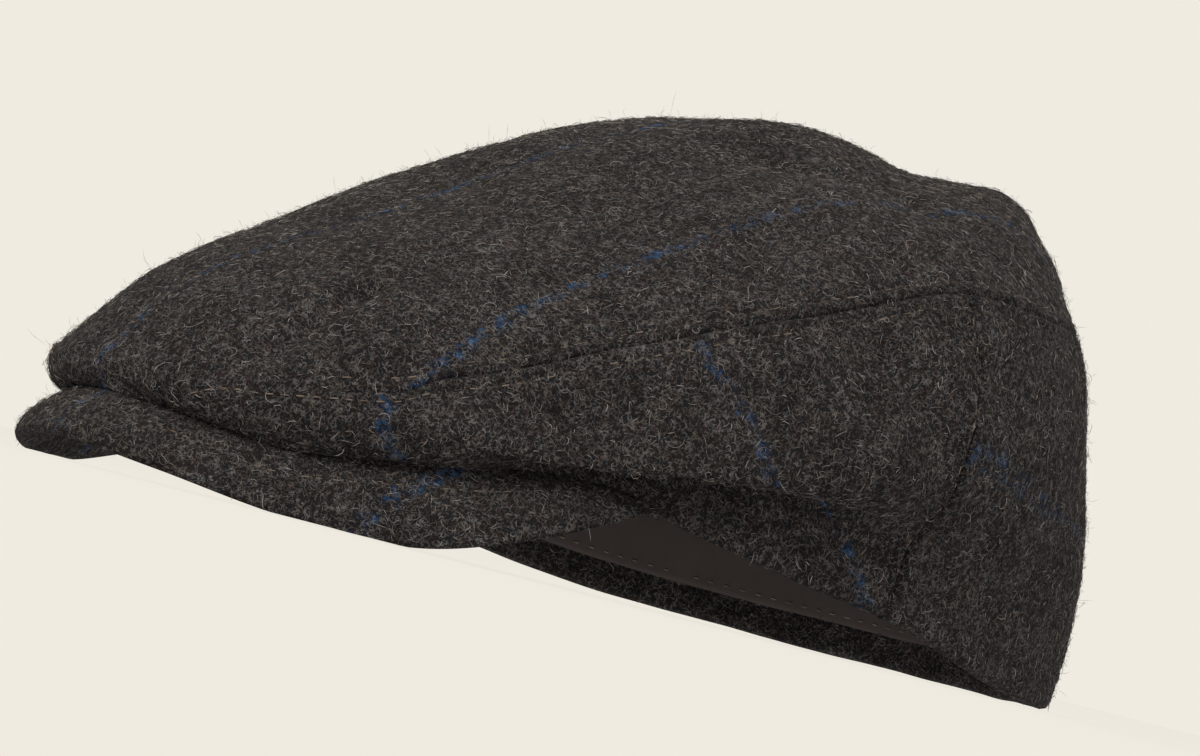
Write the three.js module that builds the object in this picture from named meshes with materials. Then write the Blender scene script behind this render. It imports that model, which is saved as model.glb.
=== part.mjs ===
// Flat cap of dark wool twill, in millimetres: +Z up, the peak towards -Y, the wearer's left at +X.
// It rests on Z = 0 by the hem at the back and by both drooping sides of the peak.
// The crown is lofted round the head opening: an angle of 0 degrees is the front, 90 the wearer's left.
import * as THREE from "three";
import { mergeVertices } from "three/addons/utils/BufferGeometryUtils.js";

// Driving dimensions
const CENTRE_Y = 23.97;
const CLOTH = 2.2;
const HEM = 4.2;
const GAP = 0.3;
const SEAM_GAP = 0.5;
const FOLD_SEAM_GAP = 1.2;
const FOOT_GAP = 0.75;
const ROW_RISE = 0.5;
const APEX_HEIGHT = 110;
const APEX_SLOPE = -0.14;
const BAND = { thickness: 1.4, height: 26, frontFoot: -2.5, sideFoot: 8, clear: 0.6, lean: 1.4 };
const PEAK = { half: 3, nose: 3, edgeHalf: 0.4, endHalf: 1.4, arch: 2.2, lowest: 0 };

// Angles in degrees from the front
const STEP = 5;
const TONGUE = 10;
const SEAM_RISEN = 28;
const ROLL_FULL = 22;
const ROLL_HOLLOW = 37;
const PEAK_END = 55;
const RIM_FREE = 65;
const BACK_SEAM = 95;

// Crown sections: radius and height of each ring, from the head opening's lower edge to the upper crown.
// The wall starts at the foot, which is the lower edge itself except in front, where it stands on the peak.
const SECTION_COLUMNS = [
  "angle", "rimR", "rimZ", "footR", "grooveR", "grooveZ",
  "foldR", "foldZ", "seamR", "seamZ", "upperR", "upperZ",
];
const SECTIONS = table(SECTION_COLUMNS, [
  [0, 104, 26, 148.5, 149, 17, 150.5, 19.5, 146, 27, 77, 74],
  [15, 102.5, 25.2, 141, 142, 16.5, 145, 19.5, 140, 27, 75, 77],
  [30, 98.5, 22.2, 118.5, 119, 17.5, 123.5, 22.5, 120.5, 33.5, 67.5, 81.5],
  [45, 93.5, 18.3, 98, 98.5, 20.5, 108.5, 26, 106, 47, 59, 87],
  [60, 89.5, 14.5, 89.5, 90.5, 24.5, 101, 31, 98, 57.5, 55, 93],
  [75, 86.5, 11, 86.5, 89.5, 26.5, 98, 34.5, 92.5, 69, 53, 97.5],
  [90, 86, 7.5, 86, 89.5, 27, 96, 38, 88.5, 79, 55, 101],
  [120, 92, 1.5, 92, 94, 24, 96, 42, 87.5, 83.5, 70.5, 100.5],
  [150, 104, 0, 104, 104.5, 22, 101.5, 44.5, 91, 83.5, 82, 98],
  [180, 109, 0, 109, 109, 22, 108, 44.5, 97, 81.5, 83, 96.5],
]);

// Peak sections: radius and height of the middle of its edge, which droops at both sides.
const PEAK_SECTIONS = table(["angle", "edgeR", "edgeZ"], [
  [0, 157, 6],
  [10, 151.5, 4],
  [20, 139.5, 0.9],
  [30, 126, 0.7],
  [40, 112, 5],
  [50, 98.5, 11],
  [55, 92, 14.5],
]);

// Soft dents and ridges: each runs between two places on the crown, given by angle and ring number.
const FOLDS = table(["angle", "ring", "toAngle", "toRing", "depth", "width"], [
  [15, 3.25, 20, 3.5, 1.2, 10],
  [38, 2.8, 45, 2.2, 1.4, 6],
  [76, 2.95, 90, 2.3, 2.2, 8],
  [100, 0.7, 118, 0.7, 1, 5],
  [118, 0.7, 136, 0.65, 1, 5],
  [60, 4.45, 100, 4.1, 2.5, 11],
  [-60, 3.5, -40, 3.1, 1.4, 8],
  [-90, 2.9, -80, 2.2, 1.8, 7],
  [120, 4.35, -150, 4.35, 3.5, 13],
]);

// Ring numbers of the panels' rows, from foot 0, groove 1, fold 2 and seam 3 up to the apex 5
const GROOVE_RING = 1;
const TIP_RING = 1.8;
const FOLD_RING = 2;
const SEAM_RING = 3;
const APEX_RING = 5;
const HEM_RING = 0.3;
const SIDE_ROWS = [0, 0.28, 0.38, 0.6, 0.8, 1, 1.2, 1.4, 1.6, 1.8, 2, 2.25, 2.5, 2.75, 3];
const TOP_ROWS = [0, TIP_RING, 2.2, 2.6, 3, 3.12, 3.25, 3.4, 3.6, 3.8, 4, 4.25, 4.5, 4.75, APEX_RING];
const PEAK_ROWS = [0, 0.04, 0.1, 0.2, 0.32, 0.48, 0.65, 0.82, 1];
const BAND_ROWS = [0, 0.5, 1];

const WOOL = { color: "#3a3635", roughness: 0.95, metalness: 0 };
const BAND_CLOTH = { color: "#382d26", roughness: 0.7, metalness: 0 };

function table(columns, rows) {
  return rows.map((row) => Object.fromEntries(columns.map((name, i) => [name, row[i]])));
}

// A table column at any angle: a smooth curve through the rows, the same on the left and the right.
function valueAt(rows, name, angle) {
  const folded = Math.abs(THREE.MathUtils.euclideanModulo(angle + 180, 360) - 180);
  const last = rows.length - 1;
  const found = rows.findIndex((row) => row.angle > folded);
  const i = found < 0 ? last - 1 : found - 1;
  const span = (k) => rows[k + 1].angle - rows[k].angle;
  const rise = (k) => (rows[k + 1][name] - rows[k][name]) / span(k);
  const slope = (k) =>
    k === 0 || k === last
      ? 0
      : (rise(k - 1) * span(k) + rise(k) * span(k - 1)) / (span(k) + span(k - 1));
  const u = (folded - rows[i].angle) / span(i);
  return hermite(rows[i][name], rows[i + 1][name], slope(i) * span(i), slope(i + 1) * span(i), u);
}

function hermite(start, end, startTangent, endTangent, u) {
  const u2 = u * u;
  const u3 = u2 * u;
  return (
    (2 * u3 - 3 * u2 + 1) * start +
    (u3 - 2 * u2 + u) * startTangent +
    (3 * u2 - 2 * u3) * end +
    (u3 - u2) * endTangent
  );
}

function polar(angle, radius, height) {
  const a = THREE.MathUtils.degToRad(angle);
  return new THREE.Vector3(radius * Math.sin(a), CENTRE_Y - radius * Math.cos(a), height);
}

// The peak's middle surface rises from its edge to the head opening, flatter as it goes in.
function peakReach(angle, radius) {
  const edge = valueAt(PEAK_SECTIONS, "edgeR", Math.min(Math.abs(angle), PEAK_END));
  const inner = valueAt(SECTIONS, "rimR", angle) - CLOTH;
  return { fromEdge: edge - radius, share: THREE.MathUtils.clamp((edge - radius) / (edge - inner), 0, 1) };
}

function peakMiddle(angle, radius) {
  const edgeZ = valueAt(PEAK_SECTIONS, "edgeZ", Math.min(Math.abs(angle), PEAK_END));
  const rise = valueAt(SECTIONS, "rimZ", angle) - edgeZ;
  return edgeZ + rise * (1 - (1 - peakReach(angle, radius).share) ** PEAK.arch);
}

function peakHalf(angle, radius) {
  const inNose = 1 - THREE.MathUtils.clamp(peakReach(angle, radius).fromEdge / PEAK.nose, 0, 1);
  const taper = THREE.MathUtils.smoothstep(Math.abs(angle), PEAK_END - 3 * STEP, PEAK_END);
  const half = THREE.MathUtils.lerp(PEAK.half, PEAK.endHalf, taper);
  return Math.max(PEAK.edgeHalf, half * Math.sqrt(1 - inNose * inNose));
}

function peakTop(angle, radius) {
  return peakMiddle(angle, radius) + peakHalf(angle, radius);
}

// The crown's foot stands on the peak in front and comes down to the free rim past the peak's ends.
function footHeight(angle, radius) {
  const free = THREE.MathUtils.smoothstep(Math.abs(angle), PEAK_END, RIM_FREE);
  const rim = Math.max(0, valueAt(SECTIONS, "rimZ", angle));
  return free === 1 ? rim : THREE.MathUtils.lerp(peakTop(angle, radius) + FOOT_GAP, rim, free);
}

// The six rings of one section, from the foot to the apex.
function ringsAt(angle) {
  const value = (name) => valueAt(SECTIONS, name, angle);
  const footR = value("footR");
  return [
    [footR, footHeight(angle, footR)],
    [value("grooveR"), value("grooveZ")],
    [value("foldR"), value("foldZ")],
    [value("seamR"), value("seamZ")],
    [value("upperR"), value("upperZ")],
    [0, APEX_HEIGHT],
  ];
}

// A smooth curve through the rings, with tangents weighed by the distances between them.
function smoothCrown(angle, ring) {
  const knots = ringsAt(angle).map(([r, z]) => new THREE.Vector2(r, z));
  const chord = (k) => knots[k].distanceTo(knots[k + 1]);
  const along = (k) => knots[k + 1].clone().sub(knots[k]).divideScalar(chord(k));
  const tangent = (k) => {
    if (k === 0) return along(0);
    if (k === APEX_RING) return new THREE.Vector2(-1, -APEX_SLOPE * Math.cos(THREE.MathUtils.degToRad(angle)));
    const mixed = along(k - 1).multiplyScalar(chord(k)).addScaledVector(along(k), chord(k - 1));
    return mixed.divideScalar(chord(k - 1) + chord(k));
  };
  const i = Math.min(Math.floor(ring), APEX_RING - 1);
  const start = tangent(i).multiplyScalar(chord(i));
  const end = tangent(i + 1).multiplyScalar(chord(i));
  const at = (axis) => hermite(knots[i][axis], knots[i + 1][axis], start[axis], end[axis], ring - i);
  return polar(angle, at("x"), at("y"));
}

// Outward direction of a surface of angle and ring, by small steps either way.
function outward(surface, angle, ring) {
  const NUDGE = 0.02;
  const held = Math.min(ring, APEX_RING - NUDGE);
  const low = Math.max(held - NUDGE, 0);
  const round = surface(angle + 1, held).sub(surface(angle - 1, held));
  const up = surface(angle, held + NUDGE).sub(surface(angle, low));
  return round.cross(up).normalize();
}

const FOLD_LINES = FOLDS.map((fold) => ({
  line: new THREE.Line3(smoothCrown(fold.angle, fold.ring), smoothCrown(fold.toAngle, fold.toRing)),
  depth: fold.depth,
  width: fold.width,
}));

function foldDepth(point) {
  const nearest = new THREE.Vector3();
  return FOLD_LINES.reduce((sum, { line, depth, width }) => {
    line.closestPointToPoint(point, true, nearest);
    return sum + depth * Math.exp(-((nearest.distanceTo(point) / width) ** 2));
  }, 0);
}

function crown(angle, ring) {
  const point = smoothCrown(angle, ring);
  const fade = THREE.MathUtils.smoothstep(ring, 0, HEM_RING);
  return point.addScaledVector(outward(smoothCrown, angle, ring), -foldDepth(point) * fade);
}

// A point inside the cloth's outer face: deeper along the hem, level with the foot there, and clear of the
// peak in front, where the low foot is set inwards and rises row by row.
function inset(angle, ring) {
  const turnedIn = THREE.MathUtils.smoothstep(Math.abs(angle), RIM_FREE, RIM_FREE + 2 * STEP);
  const thickness = ring <= HEM_RING ? THREE.MathUtils.lerp(CLOTH, HEM, turnedIn) : CLOTH;
  const inFront = 1 - THREE.MathUtils.smoothstep(Math.abs(angle), PEAK_END, RIM_FREE);
  const rolled = inFront * (1 - THREE.MathUtils.smoothstep(ring, GROOVE_RING, FOLD_RING));
  const normal = outward(crown, angle, ring);
  normal.setZ(ring === 0 ? 0 : normal.z * (1 - rolled)).normalize();
  const point = crown(angle, ring).addScaledVector(normal, -thickness);
  if (Math.abs(angle) <= PEAK_END) {
    const radius = Math.hypot(point.x, point.y - CENTRE_Y);
    point.z = Math.max(point.z, peakTop(angle, radius) + FOOT_GAP + ROW_RISE * ring);
  }
  return point;
}

// The cloth's inner face. The low roll in front is cloth folded double, so there it runs straight up.
function crownInside(angle, ring) {
  const point = inset(angle, ring);
  const folded = 1 - THREE.MathUtils.smoothstep(Math.abs(angle), ROLL_FULL, ROLL_HOLLOW);
  if (folded === 0 || ring >= SEAM_RING) return point;
  const straight = inset(angle, 0).lerp(inset(angle, SEAM_RING), ring / SEAM_RING);
  return point.lerp(straight, folded);
}

// Ring number of the seam between the top and the sides: it starts above the groove beside the tongue,
// where the sides end in a short upright edge.
function seamRing(angle) {
  const folded = Math.abs(THREE.MathUtils.euclideanModulo(angle + 180, 360) - 180);
  const risen = THREE.MathUtils.clamp((folded - TONGUE) / (SEAM_RISEN - TONGUE), 0, 1);
  return folded < TONGUE ? 0 : THREE.MathUtils.lerp(TIP_RING, SEAM_RING, risen);
}

// Change of ring number that leaves half a seam's gap beside it, more where the seam runs round the fold.
function seamInset(angle, ring) {
  const REACH = 0.1;
  const length = smoothCrown(angle, ring + REACH).distanceTo(smoothCrown(angle, ring));
  const gap = ring < SEAM_RING ? FOLD_SEAM_GAP : SEAM_GAP;
  return (gap / 2) * (REACH / length);
}

function degreesFor(length, radius) {
  return THREE.MathUtils.radToDeg(length / radius);
}

function steps(from, to) {
  const count = Math.round((to - from) / STEP);
  return Array.from({ length: count + 1 }, (_, i) => from + (i * (to - from)) / count);
}

function grid(rows, columns, pointAt) {
  return rows.map((row) => columns.map((column) => pointAt(column, row)));
}

// Closed shell between an outer and an inner grid of points; a wrapped shell has no side walls.
function shell(outer, inner, wrapped) {
  const corners = [];
  const triangle = (a, b, c) => {
    const SAME = 1e-3;
    if (a.distanceTo(b) > SAME && b.distanceTo(c) > SAME && c.distanceTo(a) > SAME) corners.push(a, b, c);
  };
  const quad = (a, b, c, d) => {
    triangle(a, b, c);
    triangle(a, c, d);
  };
  const top = outer.length - 1;
  const end = outer[0].length - 1;
  const spans = wrapped ? end + 1 : end;
  for (let i = 0; i < spans; i++) {
    const n = (i + 1) % (end + 1);
    for (let j = 0; j < top; j++) {
      quad(outer[j][i], outer[j][n], outer[j + 1][n], outer[j + 1][i]);
      quad(inner[j][n], inner[j][i], inner[j + 1][i], inner[j + 1][n]);
    }
    quad(inner[0][n], outer[0][n], outer[0][i], inner[0][i]);
    quad(outer[top][i], outer[top][n], inner[top][n], inner[top][i]);
  }
  for (let j = 0; j < top && !wrapped; j++) {
    quad(inner[j][0], outer[j][0], outer[j + 1][0], inner[j + 1][0]);
    quad(outer[j][end], inner[j][end], inner[j + 1][end], outer[j + 1][end]);
  }
  return mergeVertices(new THREE.BufferGeometry().setFromPoints(corners));
}

function piece(name, geometry, finish) {
  geometry.computeVertexNormals();
  const mesh = new THREE.Mesh(geometry, new THREE.MeshStandardMaterial(finish));
  mesh.name = name;
  return mesh;
}

// A wall panel from the foot up to the seam, between two angles.
function wallPanel(name, from, to) {
  const trim = degreesFor(SEAM_GAP / 2, valueAt(SECTIONS, "foldR", BACK_SEAM));
  const angles = steps(from, to);
  angles[0] += trim;
  angles[angles.length - 1] -= trim;
  const ringAt = (angle, row) => {
    const seam = seamRing(angle);
    return (row / SEAM_RING) * (seam - seamInset(angle, seam));
  };
  const outer = grid(SIDE_ROWS, angles, (angle, row) => crown(angle, ringAt(angle, row)));
  const inner = grid(SIDE_ROWS, angles, (angle, row) => crownInside(angle, ringAt(angle, row)));
  return piece(name, shell(outer, inner, false), WOOL);
}

// The top starts at the seam, so a row that would lie below the seam is drawn up onto it.
function topPanel() {
  const tongueSide = TONGUE - degreesFor(GAP, valueAt(SECTIONS, "foldR", TONGUE));
  const angles = [...steps(-180, 180 - STEP), -tongueSide, tongueSide].sort((a, b) => a - b);
  const ringAt = (angle, row) => {
    const seam = seamRing(angle);
    return seam === 0 ? row : Math.max(row, seam + seamInset(angle, seam));
  };
  const outer = grid(TOP_ROWS, angles, (angle, row) => crown(angle, ringAt(angle, row)));
  const inner = grid(TOP_ROWS, angles, (angle, row) => crownInside(angle, ringAt(angle, row)));
  const outerApex = crown(0, APEX_RING);
  const innerApex = outerApex.clone().setZ(outerApex.z - CLOTH);
  outer[outer.length - 1].fill(outerApex);
  inner[inner.length - 1].fill(innerApex);
  return piece("top_panel", shell(outer, inner, true), WOOL);
}

// One of the peak's two layers, between two heights that are given at each angle and radius.
function peakLayer(name, upperAt, lowerAt) {
  const angles = steps(-PEAK_END, PEAK_END);
  const radiusAt = (angle, row) => {
    const edge = valueAt(PEAK_SECTIONS, "edgeR", angle);
    return THREE.MathUtils.lerp(edge, valueAt(SECTIONS, "rimR", angle) - CLOTH, row);
  };
  const layer = (heightAt) =>
    grid(PEAK_ROWS, angles, (angle, row) => {
      const radius = radiusAt(angle, row);
      return polar(angle, radius, Math.max(PEAK.lowest, heightAt(angle, radius)));
    });
  return piece(name, shell(layer(upperAt), layer(lowerAt), false), WOOL);
}

function sweatband() {
  const angles = steps(-180, 180 - STEP);
  const footAt = (angle) => {
    const free = THREE.MathUtils.smoothstep(Math.abs(angle), PEAK_END, RIM_FREE);
    const rim = Math.max(0, valueAt(SECTIONS, "rimZ", angle));
    return rim + THREE.MathUtils.lerp(BAND.frontFoot, BAND.sideFoot, free);
  };
  const face = (inset) =>
    grid(BAND_ROWS, angles, (angle, row) => {
      const radius = valueAt(SECTIONS, "rimR", angle) - CLOTH - BAND.clear - inset - row * BAND.lean;
      return polar(angle, radius, footAt(angle) + row * BAND.height);
    });
  return piece("sweatband", shell(face(0), face(BAND.thickness), true), BAND_CLOTH);
}

const cap = new THREE.Group();
cap.name = "flat_cap";
cap.add(
  topPanel(),
  wallPanel("side_panel_left", TONGUE, BACK_SEAM),
  wallPanel("side_panel_right", -BACK_SEAM, -TONGUE),
  wallPanel("back_panel", BACK_SEAM, 360 - BACK_SEAM),
  peakLayer("peak_upper", peakTop, (angle, radius) => peakMiddle(angle, radius) + GAP / 2),
  peakLayer(
    "peak_under",
    (angle, radius) => peakMiddle(angle, radius) - GAP / 2,
    (angle, radius) => peakMiddle(angle, radius) - peakHalf(angle, radius),
  ),
  sweatband(),
);

export default cap;
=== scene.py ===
"""Flat cap of dark wool twill with faint blue stripes: cloth, stitches, loose hairs and a plain studio."""

import logging
import math
from dataclasses import dataclass, field
from enum import Enum
from typing import Sequence

import bpy
import numpy as np
from mathutils import Matrix, Vector


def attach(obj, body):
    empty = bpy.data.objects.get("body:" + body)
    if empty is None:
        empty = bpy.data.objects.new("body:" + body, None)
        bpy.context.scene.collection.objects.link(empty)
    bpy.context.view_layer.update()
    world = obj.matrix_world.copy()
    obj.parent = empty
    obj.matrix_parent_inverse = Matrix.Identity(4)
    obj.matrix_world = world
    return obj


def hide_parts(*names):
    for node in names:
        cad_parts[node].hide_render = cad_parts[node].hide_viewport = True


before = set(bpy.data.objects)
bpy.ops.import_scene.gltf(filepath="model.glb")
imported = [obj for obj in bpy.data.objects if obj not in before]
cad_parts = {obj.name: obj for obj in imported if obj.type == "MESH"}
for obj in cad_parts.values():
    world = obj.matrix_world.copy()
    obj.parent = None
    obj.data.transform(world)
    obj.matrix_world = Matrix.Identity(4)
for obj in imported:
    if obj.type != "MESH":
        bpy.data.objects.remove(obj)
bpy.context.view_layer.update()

LOG = logging.getLogger("flat_cap")
MM = 0.001
TINY = 1e-9
DIAGONAL = math.sqrt(0.5)
STRIPE_SPACING = 60.0
STITCH_SIDES = 6
HAIR_SIDES = 3
Array = np.ndarray
Socket = bpy.types.NodeSocket
Tree = bpy.types.NodeTree
Span = tuple[float, float]
Triple = tuple[float, float, float]

# Crown sections in degrees from the front and millimetres. The columns are the angle, the rim's radius
# and height, the foot's radius, and the radius and height of the groove, fold, seam and upper ring.
SECTIONS = np.array([
    [0, 104, 26, 146.8, 148.4, 19, 149.3, 22, 144.6, 29.5, 77, 74],
    [15, 102.5, 25.2, 138, 141.6, 16.3, 143.6, 20.2, 139.4, 29, 75, 77],
    [30, 98.5, 22.2, 114.8, 118.8, 18.6, 123.3, 22.6, 120.5, 33.7, 67.5, 81.5],
    [45, 93.5, 18.3, 96.5, 95.8, 26.5, 109.2, 26.9, 106, 47, 59, 87],
    [60, 89.5, 14.5, 89.5, 88.8, 30.7, 102.8, 31.5, 98, 57.5, 55, 93],
    [75, 86.5, 11, 86.5, 85.9, 31.8, 99.2, 33.9, 92.5, 69, 53, 97.5],
    [90, 86, 7.5, 86, 87.6, 29.5, 96.4, 37, 88.5, 79, 55, 101],
    [120, 92, 1.5, 92, 94, 24, 96, 42, 87.5, 83.5, 70.5, 100.5],
    [150, 104, 0, 104, 104.5, 22, 101.5, 44.5, 91, 83.5, 82, 98],
    [180, 109, 0, 109, 109, 22, 108, 44.5, 97, 81.5, 83, 96.5],
])
RIM_RADIUS, RIM_HEIGHT, FOOT_RADIUS, UPPER_RINGS = 0, 1, 2, 3
FOLD_RING = 2
# Peak sections: angle, radius and height of the middle of its edge
PEAK_SECTIONS = np.array([
    [0, 157, 6], [10, 151.5, 4], [20, 139.5, 0.9], [30, 126, 0.7], [40, 112, 6], [50, 98.5, 12.8],
    [55, 92, 16.5],
])
EDGE_RADIUS, EDGE_HEIGHT = 0, 1
# Ring number of the seam between the top and the sides, which starts beside the tongue in front
SEAM_SECTIONS = np.array([
    [0, 0], [6, 0], [9, 1.7], [12, 2.35], [16.5, 2.58], [22, 2.83], [28, 3.04], [34, 3.075],
    [45, 3.1], [60, 3.147], [76, 3.14], [90, 3.12], [115, 3.04], [180, 3],
])
# Soft dents, and ridges where the depth is below nought: angle and ring of both ends, depth, half width
FOLDS = np.array([
    [15, 3.25, 20, 3.5, 1.2, 10],
    [38, 2.8, 45, 2.2, 1.4, 6],
    [76, 2.95, 90, 2.3, 2.2, 8],
    [100, 0.7, 118, 0.7, 1, 5],
    [118, 0.7, 136, 0.65, 1, 5],
    [60, 4.45, 100, 4.1, 2.5, 11],
    [-60, 3.5, -40, 3.1, 1.4, 8],
    [-90, 2.9, -80, 2.2, 1.8, 7],
    [120, 4.35, -150, 4.35, 3.5, 13],
])
# Narrower wrinkles in and beside those dents, in the same columns
WRINKLES = np.array([
    [39, 2.78, 44, 2.35, 0.7, 2.2],
    [14.5, 3.07, 16.4, 3.4, 2.5, 3.2],
    [16.4, 3.4, 19.5, 3.54, 0.8, 4],
    [80, 2.85, 89, 2.4, 0.7, 2.8],
    [101, 0.5, 117, 0.48, 0.6, 2.5],
    [117, 0.48, 134, 0.44, 0.6, 2.5],
    [62, 4.42, 98, 4.12, 0.6, 4.5],
    [102, 4.4, 103.5, 3.95, 0.9, 4],
    [-72, 2.7, -60, 2.2, 0.9, 3.5],
    [-120, 0.5, -100, 0.5, 0.7, 3],
    [150, 3.35, 176, 3.3, 0.7, 5],
    [-165, 2.1, -130, 2.3, 0.9, 6],
    [112, 4.86, 138, 4.66, -1.9, 13],
    [148, 4.44, 160, 4.5, 1.1, 11],
    [143, 4.25, 140, 4.17, -1.8, 6.5],
    [141, 4.02, 143, 3.8, 1.6, 9],
    [142, 2.6, 142, 3.2, 2.2, 22],
    [-17, 3.1, -24, 3.6, 2.0, 14],
])
# Gentle waves all over the crown: height and wavelength in millimetres, and the seed
WAVES = ((0.28, 34.0, 3), (0.12, 13.0, 4))


def linear(hex_colour: str) -> tuple[float, float, float, float]:
    """Turns an sRGB hex value into the linear colour that a shader takes.

    Args:
        hex_colour: Six hex digits after a hash sign.

    Returns:
        Red, green, blue and an alpha of one.
    """
    parts = [int(hex_colour[i:i + 2], 16) / 255 for i in (1, 3, 5)]
    return (*[p / 12.92 if p <= 0.04045 else ((p + 0.055) / 1.055) ** 2.4 for p in parts], 1.0)


def smoothstep(value: Array, low: float, high: float) -> Array:
    """Rises softly from nought at low to one at high."""
    share = np.clip((np.asarray(value, float) - low) / (high - low), 0, 1)
    return share * share * (3 - 2 * share)


def hump(value: Array, middle: float, width: float) -> Array:
    """A soft bump of height one round the middle."""
    return np.exp(-(((value - middle) / width) ** 2))


def hermite(start: Array, end: Array, leave: Array, arrive: Array, u: Array) -> Array:
    """A cubic from start to end with the tangents given at both.

    Args:
        start: Values at the start.
        end: Values at the end.
        leave: Tangents at the start.
        arrive: Tangents at the end.
        u: Shares of the way.

    Returns:
        Values at those shares.
    """
    u2, u3 = u * u, u * u * u
    held = (2 * u3 - 3 * u2 + 1) * start + (u3 - 2 * u2 + u) * leave
    return held + (3 * u2 - 2 * u3) * end + (u3 - u2) * arrive


def signed_angle(angle: Array) -> Array:
    """Angle from the front, above nought on the wearer's left."""
    return (np.asarray(angle, float) + 180) % 360 - 180


def folded_angle(angle: Array) -> Array:
    """Angle from the front, whichever side it is on."""
    return np.abs(signed_angle(angle))


def even_spline(rows: Array, angle: Array) -> Array:
    """A smooth curve through a table's rows, the same on the left and the right.

    Args:
        rows: The table, with the angle in its first column.
        angle: Angles in degrees, in one row.

    Returns:
        The other columns at each angle.
    """
    folded = np.minimum(folded_angle(angle), rows[-1, 0])
    at, values = rows[:, 0], rows[:, 1:]
    span = np.diff(at)[:, None]
    rise = np.diff(values, axis=0) / span
    slope = np.zeros_like(values)
    slope[1:-1] = (rise[:-1] * span[1:] + rise[1:] * span[:-1]) / (span[1:] + span[:-1])
    i = np.clip(np.searchsorted(at, folded, side="right") - 1, 0, len(at) - 2)
    u = ((folded - at[i]) / span[i, 0])[:, None]
    return hermite(values[i], values[i + 1], slope[i] * span[i], slope[i + 1] * span[i], u)


def unit(vectors: Array) -> Array:
    """Vectors of length one."""
    return vectors / np.maximum(np.linalg.norm(vectors, axis=-1, keepdims=True), TINY)


def lengths(points: Array) -> Array:
    """Length along each line of points from its first one."""
    step = np.linalg.norm(np.diff(points, axis=0), axis=-1)
    return np.concatenate([np.zeros_like(step[:1]), np.cumsum(step, 0)])


def grid_normals(points: Array, ring_shaped: bool = False) -> Array:
    """Outward directions over a grid of points.

    Args:
        points: The grid, by row and column.
        ring_shaped: Whether the last column meets the first.

    Returns:
        One direction for each point.
    """
    if ring_shaped:
        across = np.roll(points, -1, 1) - np.roll(points, 1, 1)
    else:
        across = np.gradient(points, axis=1)
    return unit(np.cross(across, np.gradient(points, axis=0)))


def ripple(points: Array, wavelength: float, seed: int, waves: int = 14) -> Array:
    """Gentle random waves through space, about one high at their highest.

    Args:
        points: Places in millimetres.
        wavelength: Usual distance between two crests.
        seed: Start of the random draws.
        waves: How many waves are added up.

    Returns:
        One height for each place.
    """
    rng = np.random.default_rng(seed)
    total = np.zeros(points.shape[:-1])
    for _ in range(waves):
        turn = 2 * math.pi / (wavelength * rng.uniform(0.7, 1.5))
        total += np.sin(points @ (unit(rng.normal(size=3)) * turn) + rng.uniform(0, 2 * math.pi))
    return total / math.sqrt(waves)


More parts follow.
